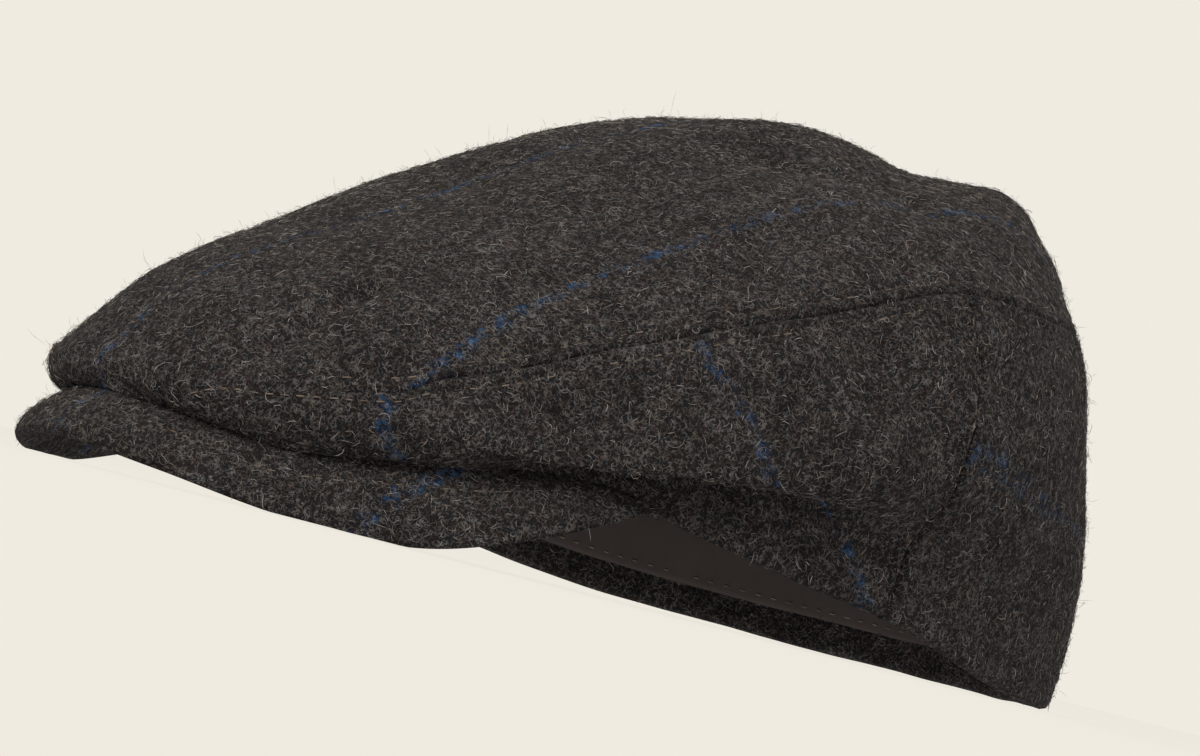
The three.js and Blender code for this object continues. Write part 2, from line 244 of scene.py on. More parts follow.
@dataclass(frozen=True)
class CapForm:
    """The cap's shape in millimetres and degrees: rings lofted round the head opening, and the peak.

    Ring 0 is the crown's foot, 1 the groove, 2 the overhanging fold, 3 the seam, 4 the upper crown
    and 5 the apex. A span of two angles says where something starts and where it is complete.
    """

    centre_y: float = 23.97
    cloth: float = 2.2
    foot_gap: float = 0.75
    foot_down: Span = (50.5, 58.5)
    apex_height: float = 110.0
    apex_slope: float = -0.14
    apex_ring: float = 5.0
    hem_ring: float = 0.3
    back_seam: float = 95.0
    highest_seam: float = 3.2
    peak_half: float = 3.0
    peak_nose: float = 3.0
    peak_edge_half: float = 0.4
    peak_end_half: float = 1.4
    peak_arch: float = 2.2
    peak_end: float = 55.0
    peak_taper: float = 15.0
    rim_free: float = 65.0
    near_lift: float = 4.4
    lift_starts: Span = (30.0, 54.0)
    lift_stops: Span = (92.0, 136.0)
    near_sag: float = 1.0
    sag_middle: float = 76.0
    sag_width: float = 14.0
    crisp_starts: Span = (32.0, 44.0)
    crisp_stops: Span = (64.0, 84.0)
    crisp_share: float = 0.88
    least_chord: float = 1e-6
    angle_nudge: float = 1.0
    ring_nudge: float = 0.02

    def place(self, angle: Array, radius: Array, height: Array) -> Array:
        """Points at angles round the head opening."""
        a = np.radians(angle)
        x, y = radius * np.sin(a), self.centre_y - radius * np.cos(a)
        return np.stack(np.broadcast_arrays(x, y, height), -1)

    def rim(self, angle: Array) -> tuple[Array, Array]:
        """Radius and height of the head opening's lower edge."""
        values = even_spline(SECTIONS, angle)
        return values[:, RIM_RADIUS], values[:, RIM_HEIGHT] + self.lifted(angle)

    def lifted(self, angle: Array) -> Array:
        """How far the soft rim and the end of the peak stand higher on the wearer's left.

        Args:
            angle: Angles in degrees.

        Returns:
            One height for each angle.
        """
        a = signed_angle(angle)
        held = smoothstep(a, *self.lift_starts) * (1 - smoothstep(a, *self.lift_stops))
        return self.near_lift * held - self.near_sag * hump(a, self.sag_middle, self.sag_width)

    def peak_share(self, angle: Array, radius: Array) -> tuple[Array, Array]:
        """Distance from the peak's edge, and the share of the way in to the head opening.

        Args:
            angle: Angles in degrees.
            radius: Radius at each angle.

        Returns:
            Both for each angle.
        """
        edge = even_spline(PEAK_SECTIONS, angle)[:, EDGE_RADIUS]
        inner = self.rim(angle)[0] - self.cloth
        return edge - radius, np.clip((edge - radius) / (edge - inner), 0, 1)

    def peak_middle(self, angle: Array, radius: Array) -> Array:
        """Height of the peak's middle surface, which rises from the edge and flattens inwards.

        Args:
            angle: Angles in degrees.
            radius: Radius at each angle.

        Returns:
            One height for each angle.
        """
        edge = even_spline(PEAK_SECTIONS, angle)[:, EDGE_HEIGHT] + self.lifted(angle)
        share = self.peak_share(angle, radius)[1]
        return edge + (self.rim(angle)[1] - edge) * (1 - (1 - share) ** self.peak_arch)

    def peak_half_at(self, angle: Array, radius: Array) -> Array:
        """Half the peak's thickness, round at its nose and thinner at both ends.

        Args:
            angle: Angles in degrees.
            radius: Radius at each angle.

        Returns:
            Half the thickness for each angle.
        """
        in_nose = 1 - np.clip(self.peak_share(angle, radius)[0] / self.peak_nose, 0, 1)
        taper = smoothstep(folded_angle(angle), self.peak_end - self.peak_taper, self.peak_end)
        half = self.peak_half + (self.peak_end_half - self.peak_half) * taper
        return np.maximum(self.peak_edge_half, half * np.sqrt(1 - in_nose * in_nose))

    def knots(self, angle: Array) -> Array:
        """The six rings of each section.

        Args:
            angle: Angles in degrees.

        Returns:
            Radius and height by angle and ring.
        """
        values = even_spline(SECTIONS, angle)
        radius = values[:, FOOT_RADIUS]
        free = smoothstep(folded_angle(angle), *self.foot_down)
        top = self.peak_middle(angle, radius) + self.peak_half_at(angle, radius)
        standing = top + self.foot_gap
        height = standing + (np.maximum(0, self.rim(angle)[1]) - standing) * free
        foot = np.stack([radius, height], -1)[:, None]
        between = values[:, UPPER_RINGS:].reshape(len(values), -1, 2)
        apex = np.broadcast_to([0.0, self.apex_height], (len(values), 1, 2))
        return np.concatenate([foot, between, apex], 1)

    def smooth(self, angle: Array, ring: Array) -> Array:
        """Points of the crown before its dents.

        Args:
            angle: Angles in degrees.
            ring: Ring numbers, in the same shape.

        Returns:
            Points in that shape.
        """
        a, r = np.ravel(angle).astype(float), np.ravel(ring).astype(float)
        knots = self.knots(a)
        step = np.diff(knots, axis=1)
        chord = np.maximum(np.linalg.norm(step, axis=-1, keepdims=True), self.least_chord)
        along = step / chord
        before, after = chord[:, :-1], chord[:, 1:]
        tangent = np.zeros_like(knots)
        tangent[:, 0] = along[:, 0]
        tangent[:, 1:-1] = (along[:, :-1] * after + along[:, 1:] * before) / (after + before)
        slope = -self.apex_slope * np.cos(np.radians(a))
        tangent[:, -1] = np.stack([np.full(len(a), -1.0), slope], -1)
        around = folded_angle(a)
        crisp = smoothstep(around, *self.crisp_starts) * (1 - smoothstep(around, *self.crisp_stops))
        lip = (1 - self.crisp_share) * along[:, FOLD_RING - 1] + self.crisp_share * along[:, FOLD_RING]
        tangent[:, FOLD_RING] += (lip - tangent[:, FOLD_RING]) * crisp[:, None]
        i = np.clip(np.floor(r).astype(int), 0, step.shape[1] - 1)
        n = np.arange(len(a))
        leave, arrive = tangent[n, i] * chord[n, i], tangent[n, i + 1] * chord[n, i]
        flat = hermite(knots[n, i], knots[n, i + 1], leave, arrive, (r - i)[:, None])
        return self.place(a, flat[:, 0], flat[:, 1]).reshape(*np.shape(ring), 3)

    def outward(self, angle: Array, ring: Array) -> Array:
        """Outward directions of the crown before its dents.

        Args:
            angle: Angles in degrees.
            ring: Ring numbers, in the same shape.

        Returns:
            One direction for each place.
        """
        held = np.minimum(ring, self.apex_ring - self.ring_nudge)
        above, below = held + self.ring_nudge, np.maximum(held - self.ring_nudge, 0)
        left, right = angle + self.angle_nudge, angle - self.angle_nudge
        around = self.smooth(left, held) - self.smooth(right, held)
        return unit(np.cross(around, self.smooth(angle, above) - self.smooth(angle, below)))

    def dents(self, points: Array, lines: Array) -> Array:
        """How far dents press the cloth in at each point.

        Args:
            points: Places on the crown.
            lines: Rows of a table of dents.

        Returns:
            One depth for each place.
        """
        from_angle, from_ring, to_angle, to_ring, depths, widths = lines.T
        starts, ends = self.smooth(from_angle, from_ring), self.smooth(to_angle, to_ring)
        total = np.zeros(points.shape[:-1])
        for start, end, depth, width in zip(starts, ends, depths, widths):
            way = end - start
            share = np.clip(((points - start) @ way) / (way @ way), 0, 1)
            gap = np.linalg.norm(points - start - share[..., None] * way, axis=-1)
            total += depth * hump(gap, 0, width)
        return total

    def crown(self, angle: Array, ring: Array) -> Array:
        """Points of the crown with its dents, wrinkles and the cloth's gentle waves.

        Args:
            angle: Angles in degrees.
            ring: Ring numbers, in the same shape.

        Returns:
            Points in that shape.
        """
        points = self.smooth(angle, ring)
        depth = self.dents(points, FOLDS) + self.dents(points, WRINKLES)
        depth += sum(height * ripple(points, wave, seed) for height, wave, seed in WAVES)
        fade = smoothstep(ring, 0, self.hem_ring)
        return points - self.outward(angle, ring) * (depth * fade)[..., None]

    def seam_ring(self, angle: Array) -> Array:
        """Ring number of the seam between the top and the sides."""
        ring = even_spline(SEAM_SECTIONS, np.ravel(angle))[:, 0]
        return np.clip(ring, 0, self.highest_seam).reshape(np.shape(angle))


FORM = CapForm()


@dataclass(frozen=True)
class GridPlan:
    """How closely the crown's cloth is divided, in degrees, millimetres and counts."""

    front: float = 24.0
    front_step: float = 0.5
    side_columns: int = 80
    back_columns: int = 101
    least_step: float = 0.01
    samples: int = 90
    spare: float = 1.0

    def angles(self, start: float, stop: float) -> Array:
        """Angles of a panel's columns, which all panels share so that their edges meet.

        Args:
            start: First angle in degrees.
            stop: Last angle.

        Returns:
            The angles with both ends, closer together at the front.
        """
        front = np.arange(0, self.front, self.front_step)
        side = np.linspace(self.front, FORM.back_seam, self.side_columns, endpoint=False)
        back = np.linspace(FORM.back_seam, 180, self.back_columns)
        half = np.concatenate([front, side, back])
        whole = np.concatenate([-half[:0:-1], half, 360 - half[-2:0:-1]])
        inside = (whole > start + self.least_step) & (whole < stop - self.least_step)
        return np.concatenate([[start], whole[inside], [stop]])

    def rings(self, angles: Array, low: Array, high: Array, near_low: Sequence[float],
              near_high: Sequence[float], between: int, lift: Array | float = 0.0) -> Array:
        """Ring numbers of a panel's rows, spaced by length, with close rows along its edges.

        Args:
            angles: Angle of each column.
            low: Ring number at the lower edge of each column.
            high: Ring number at the upper edge.
            near_low: Distances of the close rows from the lower edge, in millimetres.
            near_high: Distances of the close rows from the upper edge.
            between: How many rows lie between them.
            lift: How far above the lower edge each column starts, as room for a rolled edge.

        Returns:
            Ring numbers by row and column.
        """
        lift = np.broadcast_to(lift, angles.shape)
        ring = low + (high - low) * np.linspace(0, 1, self.samples)[:, None]
        length = lengths(FORM.smooth(np.broadcast_to(angles, ring.shape), ring))
        columns = []
        for i, whole in enumerate(length[-1]):
            fit = min(1.0, whole / (2 * (near_low[-1] + near_high[-1] + self.spare)))
            first = (lift[i] + np.array(near_low)) * fit
            last = whole - np.array(near_high)[::-1] * fit
            middle = np.linspace(first[-1], last[0], between + 2)[1:-1]
            wanted = np.concatenate([first, middle, last])
            columns.append(np.interp(wanted, length[:, i], ring[:, i]))
        return np.stack(columns, 1)


GRID = GridPlan()


def new_object(name: str, points: Array, faces: Sequence[Array],
               values: dict[str, Array]) -> bpy.types.Object:
    """Makes a smooth-shaded mesh object from points in millimetres.

    Args:
        name: Name of the piece.
        points: Corner places.
        faces: Arrays of corner numbers, one array for each count of corners.
        values: Named numbers for each corner.

    Returns:
        The object, linked to the scene.
    """
    mesh = bpy.data.meshes.new(name)
    corners = np.concatenate([f.ravel() for f in faces]).astype(np.int32)
    sizes = np.concatenate([np.full(len(f), f.shape[1]) for f in faces])
    starts = np.concatenate([[0], np.cumsum(sizes)[:-1]]).astype(np.int32)
    mesh.vertices.add(len(points))
    mesh.vertices.foreach_set("co", (points * MM).astype(np.float32).ravel())
    mesh.loops.add(len(corners))
    mesh.loops.foreach_set("vertex_index", corners)
    mesh.polygons.add(len(starts))
    mesh.polygons.foreach_set("loop_start", starts)
    for label, numbers in values.items():
        layer = mesh.attributes.new(label, "FLOAT", "POINT")
        layer.data.foreach_set("value", numbers.astype(np.float32).ravel())
    mesh.update(calc_edges=True)
    mesh.validate()
    mesh.shade_smooth()
    piece = bpy.data.objects.new(name, mesh)
    bpy.context.scene.collection.objects.link(piece)
    return piece


@dataclass
class Sheet:
    """A piece of cloth as a grid of points by row and column, with its weave's coordinates in millimetres."""

    outer: Array
    inner: Array
    stripe: Array
    twill: Array
    ring_shaped: bool = False
    pole: bool = False
    edge_steps: int = 3

    def normals(self) -> Array:
        """Outward directions over the grid."""
        return grid_normals(self.outer, self.ring_shaped)

    def row_line(self, row: int) -> tuple[Array, Array]:
        """Points and outward directions along one row."""
        return self.outer[row], self.normals()[row]

    def rolled(self, row: int, beside: int) -> Array:
        """Points that round an edge off, from the outer face to the inner one.

        Args:
            row: Row along the edge.
            beside: The row next to it.

        Returns:
            Points by step and column.
        """
        middle = (self.outer[row] + self.inner[row]) / 2
        half = self.outer[row] - middle
        away = (self.outer[row] - self.outer[beside]) + (self.inner[row] - self.inner[beside])
        reach = unit(away) * np.linalg.norm(half, axis=-1, keepdims=True)
        turns = np.linspace(0, math.pi, self.edge_steps + 2)[1:-1]
        return np.stack([middle + half * math.cos(t) + reach * math.sin(t) for t in turns])

    def to_object(self, name: str) -> bpy.types.Object:
        """Makes the closed cloth shell.

        Args:
            name: Name of the piece.

        Returns:
            The mesh object.
        """
        rows, columns = self.outer.shape[:2]
        low = self.rolled(0, 1)[::-1]
        low_row, high_row = np.zeros(len(low), int), np.full(len(low), rows - 1)
        up, down = np.arange(rows), np.arange(rows)[::-1]
        if self.pole:
            loop = np.concatenate([self.inner[::-1], low, self.outer])
            source = np.concatenate([down, low_row, up])
        else:
            high = self.rolled(rows - 1, rows - 2)
            loop = np.concatenate([self.outer, high, self.inner[::-1], low])
            source = np.concatenate([up, high_row, down, low_row])
        number = np.arange(loop.shape[0] * columns).reshape(-1, columns)
        if self.pole:
            number[0], number[-1] = number[0, 0], number[-1, 0]
        else:
            number = np.concatenate([number, number[:1]])
        if self.ring_shaped:
            number = np.concatenate([number, number[:, :1]], 1)
        corners = [number[:-1, :-1], number[:-1, 1:], number[1:, 1:], number[1:, :-1]]
        quads = np.stack(corners, -1)
        if self.pole:
            ends = [quads[0][:, [0, 2, 3]], quads[-1][:, [0, 1, 2]]]
            faces = [quads[1:-1].reshape(-1, 4), *ends]
        else:
            faces = [quads.reshape(-1, 4)]
        if not self.ring_shaped:
            faces += self.ends(number, rows)
        values = {"stripe_mm": self.stripe[source], "twill_mm": self.twill[source]}
        return self.cleaned(name, loop.reshape(-1, 3), faces, values)

    def ends(self, number: Array, rows: int) -> list[Array]:
        """Faces that close the first and the last column.

        Args:
            number: Corner numbers round the shell, by step and column.
            rows: How many rows the cloth has.

        Returns:
            Arrays of corner numbers.
        """
        steps = self.edge_steps
        outer, inner = number[:rows], number[rows + steps:2 * rows + steps][::-1]
        high, low = number[rows:rows + steps], number[2 * rows + steps:2 * rows + 2 * steps]
        faces = []
        for column, turned in ((0, False), (-1, True)):
            o, n = outer[:, column], inner[:, column]
            strip = np.stack([n[:-1], o[:-1], o[1:], n[1:]], -1)
            top = np.concatenate([o[-1:], high[:, column], n[-1:]])[None]
            foot = np.concatenate([n[:1], low[:, column], o[:1]])[None]
            faces += [f[:, ::-1] if turned else f for f in (strip, top, foot)]
        return faces

    @staticmethod
    def cleaned(name: str, points: Array, faces: list[Array],
                values: dict[str, Array]) -> bpy.types.Object:
        """Makes the object without the corner places that a pole leaves unused.

        Args:
            name: Name of the piece.
            points: Corner places.
            faces: Arrays of corner numbers.
            values: Named numbers for each corner.

        Returns:
            The mesh object.
        """
        used = np.unique(np.concatenate([f.ravel() for f in faces]))
        renumber = np.zeros(len(points), int)
        renumber[used] = np.arange(len(used))
        kept = {label: v.reshape(-1)[used] for label, v in values.items()}
        return new_object(name, points[used], [renumber[f] for f in faces], kept)


def add_node(tree: Tree, kind: str, inputs: dict | None = None, output: int | str = 0,
             **settings: object) -> Socket | None:
    """Adds one node with its settings, its values and its links.

    Args:
        tree: Node tree of the finish.
        kind: Blender's name of the node type, after the word ShaderNode.
        inputs: Value or linked output for each input, by name or number.
        output: Which of its outputs is wanted, by name or number.
        settings: Properties of the node.

    Returns:
        That output, or nothing where the node has none.
    """
    node = tree.nodes.new("ShaderNode" + kind)
    for label, value in settings.items():
        setattr(node, label, value)
    for key, value in (inputs or {}).items():
        if isinstance(value, Socket):
            tree.links.new(value, node.inputs[key])
        else:
            node.inputs[key].default_value = value
    return node.outputs[output] if len(node.outputs) else None


class Surface:
    """A finish, which gives the shader's inputs as numbers, colours and links."""

    def sockets(self, tree: Tree) -> dict[str, object]:
        """The shader's inputs by name."""
        raise NotImplementedError

    def millimetres(self, tree: Tree) -> Socket:
        """The piece's own coordinates in millimetres."""
        place = add_node(tree, "TexCoord", output="Object")
        return add_node(tree, "VectorMath", {0: place, 3: 1 / MM}, operation="SCALE")

    def material(self, name: str) -> bpy.types.Material:
        """Makes the material.

        Args:
            name: Name of the finish.

        Returns:
            The material.
        """
        made = bpy.data.materials.new(name)
        made.use_nodes = True
        tree = made.node_tree
        tree.nodes.clear()
        shader = add_node(tree, "BsdfPrincipled", self.sockets(tree))
        add_node(tree, "OutputMaterial", {"Surface": shader})
        return made


@dataclass(frozen=True)
class Clouds:
    """A soft cloudy pattern: its count for each millimetre, and how its levels turn into shares."""

    scale: float
    detail: float = 3.0
    levels: Span = (0.4, 0.6)
    shares: Span = (0.0, 1.0)
    channel: int | None = None

    def lay(self, tree: Tree, place: Socket) -> Socket:
        """Lays the pattern over a finish.

        Args:
            tree: Node tree of the finish.
            place: Coordinates in millimetres.

        Returns:
            The pattern's share at each place.
        """
        noise = {"Vector": place, "Scale": self.scale, "Detail": self.detail}
        if self.channel is None:
            level = add_node(tree, "TexNoise", noise)
        else:
            colour = add_node(tree, "TexNoise", noise, "Color")
            level = add_node(tree, "SeparateXYZ", {0: colour}, self.channel)
        (low, high), (least, most) = self.levels, self.shares
        return add_node(tree, "MapRange", {0: level, 1: low, 2: high, 3: least, 4: most})


# Mixed dark wool yarn, woven as twill and then brushed. The brushing lifts pale curly hairs off the ribs,
# so the eye gets a soft, matt, flecked cloth with a faint bloom and hardly any shine.
@dataclass(frozen=True)
class WoolTwill(Surface):
    """Woven and brushed wool twill, with sizes in millimetres and scales as counts for each millimetre."""

    dark: str = "#201d1d"
    brown: str = "#332c2a"
    grey: str = "#2f3133"
    pale: str = "#98938f"
    warm: str = "#7c6f67"
    blue: str = "#28527a"
    navy: str = "#18243a"
    bloom: str = "#b9b2ac"
    hair_scales: tuple[float, ...] = (0.5, 0.66, 0.86, 1.15)
    hair_apart: Triple = (31.0, 17.0, 53.0)
    hair_width: float = 0.11
    hair_core: float = 0.25
    hair_wobble: float = 0.35
    hair_break: float = 0.8
    hair_levels: Span = (0.46, 0.6)
    hair_strength: float = 0.55
    nap_length: float = 1.6
    nap_width: float = 0.32
    nap_turns: tuple[Triple, ...] = ((0.3, 0.5, 0.4), (1.1, 0.2, 2.0), (0.7, 1.3, 3.4))
    nap_strokes: Clouds = Clouds(1.0, 1.0, (0.5, 0.74))
    nap_height: float = 0.9
    rib_pitch: float = 1.5
    rib_height: float = 0.2
    rib_sway: float = 5.0
    rib_sway_scale: float = 0.8
    stripe_half: float = 1.35
    stripe_sway: float = 1.3
    stripe_sway_scale: float = 0.6
    sway_detail: float = 2.0
    patches: Clouds = Clouds(0.5)
    mottle: Clouds = Clouds(0.11, levels=(0.3, 0.7), shares=(0.7, 1.3))
    stripe_gaps: Clouds = Clouds(0.3, levels=(0.46, 0.58), shares=(0.06, 0.82))
    stripe_dabs: Clouds = Clouds(0.6, 2.0, (0.46, 0.6), channel=2)
    bump: float = 0.65
    bump_depth: float = 0.35
    roughness: float = 0.95
    shine: float = 0.1
    sheen: float = 0.03
    sheen_roughness: float = 0.55

    def sockets(self, tree: Tree) -> dict[str, object]:
        """Lays yarn, nap, stripes and hairs over each other.

        Args:
            tree: Node tree of the finish.

        Returns:
            The shader's inputs by name.
        """
        mm = self.millimetres(tree)
        hairs, nap = self.hairs(tree, mm), self.nap(tree, mm)
        patch, mottle = self.patches.lay(tree, mm), self.mottle.lay(tree, mm)
        line, dabs = self.stripes(tree, mm)
        shown = add_node(tree, "Math", {0: hairs, 1: self.hair_strength}, operation="MULTIPLY")
        plain = ("dark", "brown", "grey", "pale", "warm", "blue", "navy")
        colours = {label: linear(getattr(self, label)) for label in plain}
        for label, share, under, over in (
                ("yarn", patch, "brown", "grey"), ("ground", nap, "dark", "yarn"),
                ("stripe", dabs, "navy", "blue"), ("striped", line, "ground", "stripe"),
                ("hair", patch, "warm", "pale"), ("haired", shown, "striped", "hair")):
            colours[label] = add_node(tree, "Mix", {0: share, 6: colours[under], 7: colours[over]}, 2,
                                      data_type="RGBA")
        toned = add_node(tree, "VectorMath", {0: colours["haired"], 3: mottle}, operation="SCALE")
        bump = add_node(tree, "Bump", {"Strength": self.bump, "Distance": self.bump_depth * MM,
                                       "Height": self.relief(tree, mm, hairs, nap)})
        return {"Base Color": toned, "Normal": bump, "Roughness": self.roughness,
                "Specular IOR Level": self.shine, "Sheen Weight": self.sheen,
                "Sheen Roughness": self.sheen_roughness, "Sheen Tint": linear(self.bloom)}

    def hairs(self, tree: Tree, mm: Socket) -> Socket:
        """Short lengths of curly hairs, drawn thicker than real ones so that they show.

        Args:
            tree: Node tree of the finish.
            mm: Coordinates in millimetres.

        Returns:
            Share of hair at each place.
        """
        found = 0.0
        for layer, scale in enumerate(self.hair_scales):
            apart = [layer * step for step in self.hair_apart]
            moved = add_node(tree, "VectorMath", {0: mm, 1: apart}, operation="ADD")
            level = add_node(tree, "TexNoise", {"Vector": moved, "Scale": scale, "Detail": 1.0,
                                                "Roughness": self.hair_wobble})
            off = add_node(tree, "Math", {0: level, 1: 0.5}, operation="SUBTRACT")
            off = add_node(tree, "Math", {0: off}, operation="ABSOLUTE")
            edge = 0.5 * self.hair_width * scale
            line = add_node(tree, "MapRange", {0: off, 1: self.hair_core * edge, 2: edge, 3: 1.0, 4: 0.0})
            broken = Clouds(scale * self.hair_break, 1.0, self.hair_levels, channel=1).lay(tree, moved)
            strand = add_node(tree, "Math", {0: line, 1: broken}, operation="MULTIPLY")
            found = add_node(tree, "Math", {0: found, 1: strand}, operation="MAXIMUM")
        return found

    def nap(self, tree: Tree, mm: Socket) -> Socket:
        """Brushed nap: short strokes that lie several ways.

        Args:
            tree: Node tree of the finish.
            mm: Coordinates in millimetres.

        Returns:
            Share of raised nap at each place.
        """
        stretch = (1 / self.nap_length, 1 / self.nap_width, 1 / self.nap_width)
        found = 0.0
        for turn in self.nap_turns:
            laid = add_node(tree, "Mapping", {"Vector": mm, "Rotation": turn, "Scale": stretch})
            stroke = self.nap_strokes.lay(tree, laid)
            found = add_node(tree, "Math", {0: found, 1: stroke}, operation="MAXIMUM")
        return found

    def stripes(self, tree: Tree, mm: Socket) -> tuple[Socket, Socket]:
        """Blue line at each repeat of the cloth, with gaps and brighter dabs.

        Args:
            tree: Node tree of the finish.
            mm: Coordinates in millimetres.

        Returns:
            Share of the line at each place, and of the dabs in it.
        """
        away = add_node(tree, "Attribute", output="Fac", attribute_name="stripe_mm")
        sway = add_node(tree, "TexNoise", {"Vector": mm, "Scale": self.stripe_sway_scale,
                                           "Detail": self.sway_detail})
        sway = add_node(tree, "Math", {0: sway, 1: 2 * self.stripe_sway, 2: -self.stripe_sway},
                        operation="MULTIPLY_ADD")
        half = STRIPE_SPACING / 2
        for operation, first, second in (("ADD", sway, 0.0), ("WRAP", half, -half), ("ABSOLUTE", 0.0, 0.0)):
            away = add_node(tree, "Math", {0: away, 1: first, 2: second}, operation=operation)
        line = add_node(tree, "MapRange", {0: away, 1: self.stripe_half * 0.5, 2: self.stripe_half * 1.5,
                                           3: 1.0, 4: 0.0})
        faint = self.stripe_gaps.lay(tree, mm)
        seen = add_node(tree, "Math", {0: line, 1: faint}, operation="MULTIPLY")
        return seen, self.stripe_dabs.lay(tree, mm)

    def relief(self, tree: Tree, mm: Socket, hairs: Socket, nap: Socket) -> Socket:
        """Height of ribs, nap and hairs; the ribs are drawn a little coarser than real ones.

        Args:
            tree: Node tree of the finish.
            mm: Coordinates in millimetres.
            hairs: Share of hair at each place.
            nap: Share of raised nap at each place.

        Returns:
            The height.
        """
        rib = add_node(tree, "Attribute", output="Fac", attribute_name="twill_mm")
        rib = add_node(tree, "Math", {0: rib, 1: 2 * math.pi / self.rib_pitch}, operation="MULTIPLY")
        sway = add_node(tree, "TexNoise", {"Vector": mm, "Scale": self.rib_sway_scale,
                                           "Detail": self.sway_detail})
        rib = add_node(tree, "Math", {0: sway, 1: self.rib_sway, 2: rib}, operation="MULTIPLY_ADD")
        rib = add_node(tree, "Math", {0: rib}, operation="SINE")
        height = hairs
        for layer, share in ((rib, self.rib_height), (nap, self.nap_height)):
            height = add_node(tree, "Math", {0: layer, 1: share, 2: height}, operation="MULTIPLY_ADD")
        return height


# Close-woven brown cotton, pressed smooth. The pressing gives the eye an even dark strip with a low satin
# shine, and the threads only as a faint grid.
@dataclass(frozen=True)
class BandCotton(Surface):
    """Pressed cotton weave, whose threads are drawn coarser than real ones so that they show."""

    colour: str = "#4c413c"
    lighter: str = "#5b504a"
    thread_pitch: float = 0.5
    mottle_scale: float = 0.15
    mottle_detail: float = 4.0
    bump: float = 0.15
    bump_depth: float = 0.05
    roughness: float = 0.72
    sheen: float = 0.08

    def sockets(self, tree: Tree) -> dict[str, object]:
        """Lays a faint mottle and a grid of threads.

        Args:
            tree: Node tree of the finish.

        Returns:
            The shader's inputs by name.
        """
        mm = self.millimetres(tree)
        mottle = add_node(tree, "TexNoise", {"Vector": mm, "Scale": self.mottle_scale,
                                             "Detail": self.mottle_detail})
        colour = add_node(tree, "Mix", {0: mottle, 6: linear(self.colour), 7: linear(self.lighter)}, 2,
                          data_type="RGBA")
        height = 0.0
        for label in ("stripe_mm", "twill_mm"):
            wave = add_node(tree, "Attribute", output="Fac", attribute_name=label)
            wave = add_node(tree, "Math", {0: wave, 1: 2 * math.pi / self.thread_pitch},
                            operation="MULTIPLY")
            wave = add_node(tree, "Math", {0: wave}, operation="SINE")
            height = add_node(tree, "Math", {0: height, 1: wave}, operation="ADD")
        bump = add_node(tree, "Bump", {"Strength": self.bump, "Distance": self.bump_depth * MM,
                                       "Height": height})
        return {"Base Color": colour, "Normal": bump, "Roughness": self.roughness,
                "Sheen Weight": self.sheen}


# Spun polyester sewing thread, twisted from short fibres. That gives the eye a dull shine and shades that
# change along the row.
@dataclass(frozen=True)
class SpunThread(Surface):
    """Spun sewing thread."""

    colour: str = "#92806f"
    darker: str = "#574a40"
    worn: Clouds = Clouds(0.35, 2.0, (0.35, 0.65))
    roughness: float = 0.7

    def sockets(self, tree: Tree) -> dict[str, object]:
        """Spreads two shades along the row of stitches.

        Args:
            tree: Node tree of the finish.

        Returns:
            The shader's inputs by name.
        """
        worn = self.worn.lay(tree, self.millimetres(tree))
        colour = add_node(tree, "Mix", {0: worn, 6: linear(self.darker), 7: linear(self.colour)}, 2,
                          data_type="RGBA")
        return {"Base Color": colour, "Roughness": self.roughness}


# Loose wool fibre, pulled out of the cloth by the brushing. Each hair has one shade, so the eye gets dark,
# grey and warm pale strands that catch a little light.
@dataclass(frozen=True)
class WoolHair(Surface):
    """Loose wool fibre."""

    dark: str = "#332e2c"
    grey: str = "#d2cfcb"
    beige: str = "#b39d8d"
    roughness: float = 0.6
    shine: float = 0.25

    def sockets(self, tree: Tree) -> dict[str, object]:
        """Gives each hair its own shade and warmth.

        Args:
            tree: Node tree of the finish.

        Returns:
            The shader's inputs by name.
        """
        shade, warmth = (add_node(tree, "Attribute", output="Fac", attribute_name=label)
                         for label in ("shade", "warmth"))
        pale = add_node(tree, "Mix", {0: warmth, 6: linear(self.grey), 7: linear(self.beige)}, 2,
                        data_type="RGBA")
        colour = add_node(tree, "Mix", {0: shade, 6: linear(self.dark), 7: pale}, 2, data_type="RGBA")
        return {"Base Color": colour, "Roughness": self.roughness, "Specular IOR Level": self.shine}


# Floor with matt paint, which gives the eye an even warm off-white without any shine.
@dataclass(frozen=True)
class PaleFloor(Surface):
    """Matt painted floor."""

    colour: str = "#f0ebe1"
    shaded: str = "#45443f"
    glow: float = 0.93

    def sockets(self, tree: Tree) -> dict[str, object]:
        """An even colour that light and shade hardly change."""
        return {"Base Color": linear(self.shaded), "Roughness": 1.0, "Specular IOR Level": 0.0,
                "Emission Color": linear(self.colour), "Emission Strength": self.glow}


class Slot(Enum):
    """The record's material slots."""

    WOOL = "wool_twill"
    COTTON = "sweatband_cotton"


@dataclass(frozen=True)
class Dressing:
    """A finish and the slot that it stands for."""

    material: bpy.types.Material
    slot: Slot

    def dress(self, piece: bpy.types.Object, node: str | None = None) -> None:
        """Gives a piece its finish and its place in the frame.

        Args:
            piece: The piece.
            node: The solid that it stands for, if it does.
        """
        piece.data.materials.append(self.material)
        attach(piece, "root")
        if node:
            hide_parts(node)
        LOG.info("%s: %d faces", piece.name, len(piece.data.polygons))


@dataclass(frozen=True)
class Finishes:
    """The finishes that the pieces wear."""

    wool: Dressing
    cotton: Dressing
    thread: Dressing
    # Lighter copy of the sewing thread, with painted light for the shaded hollow inside the band
    band_thread_painted_lighter: Dressing
    hair: Dressing


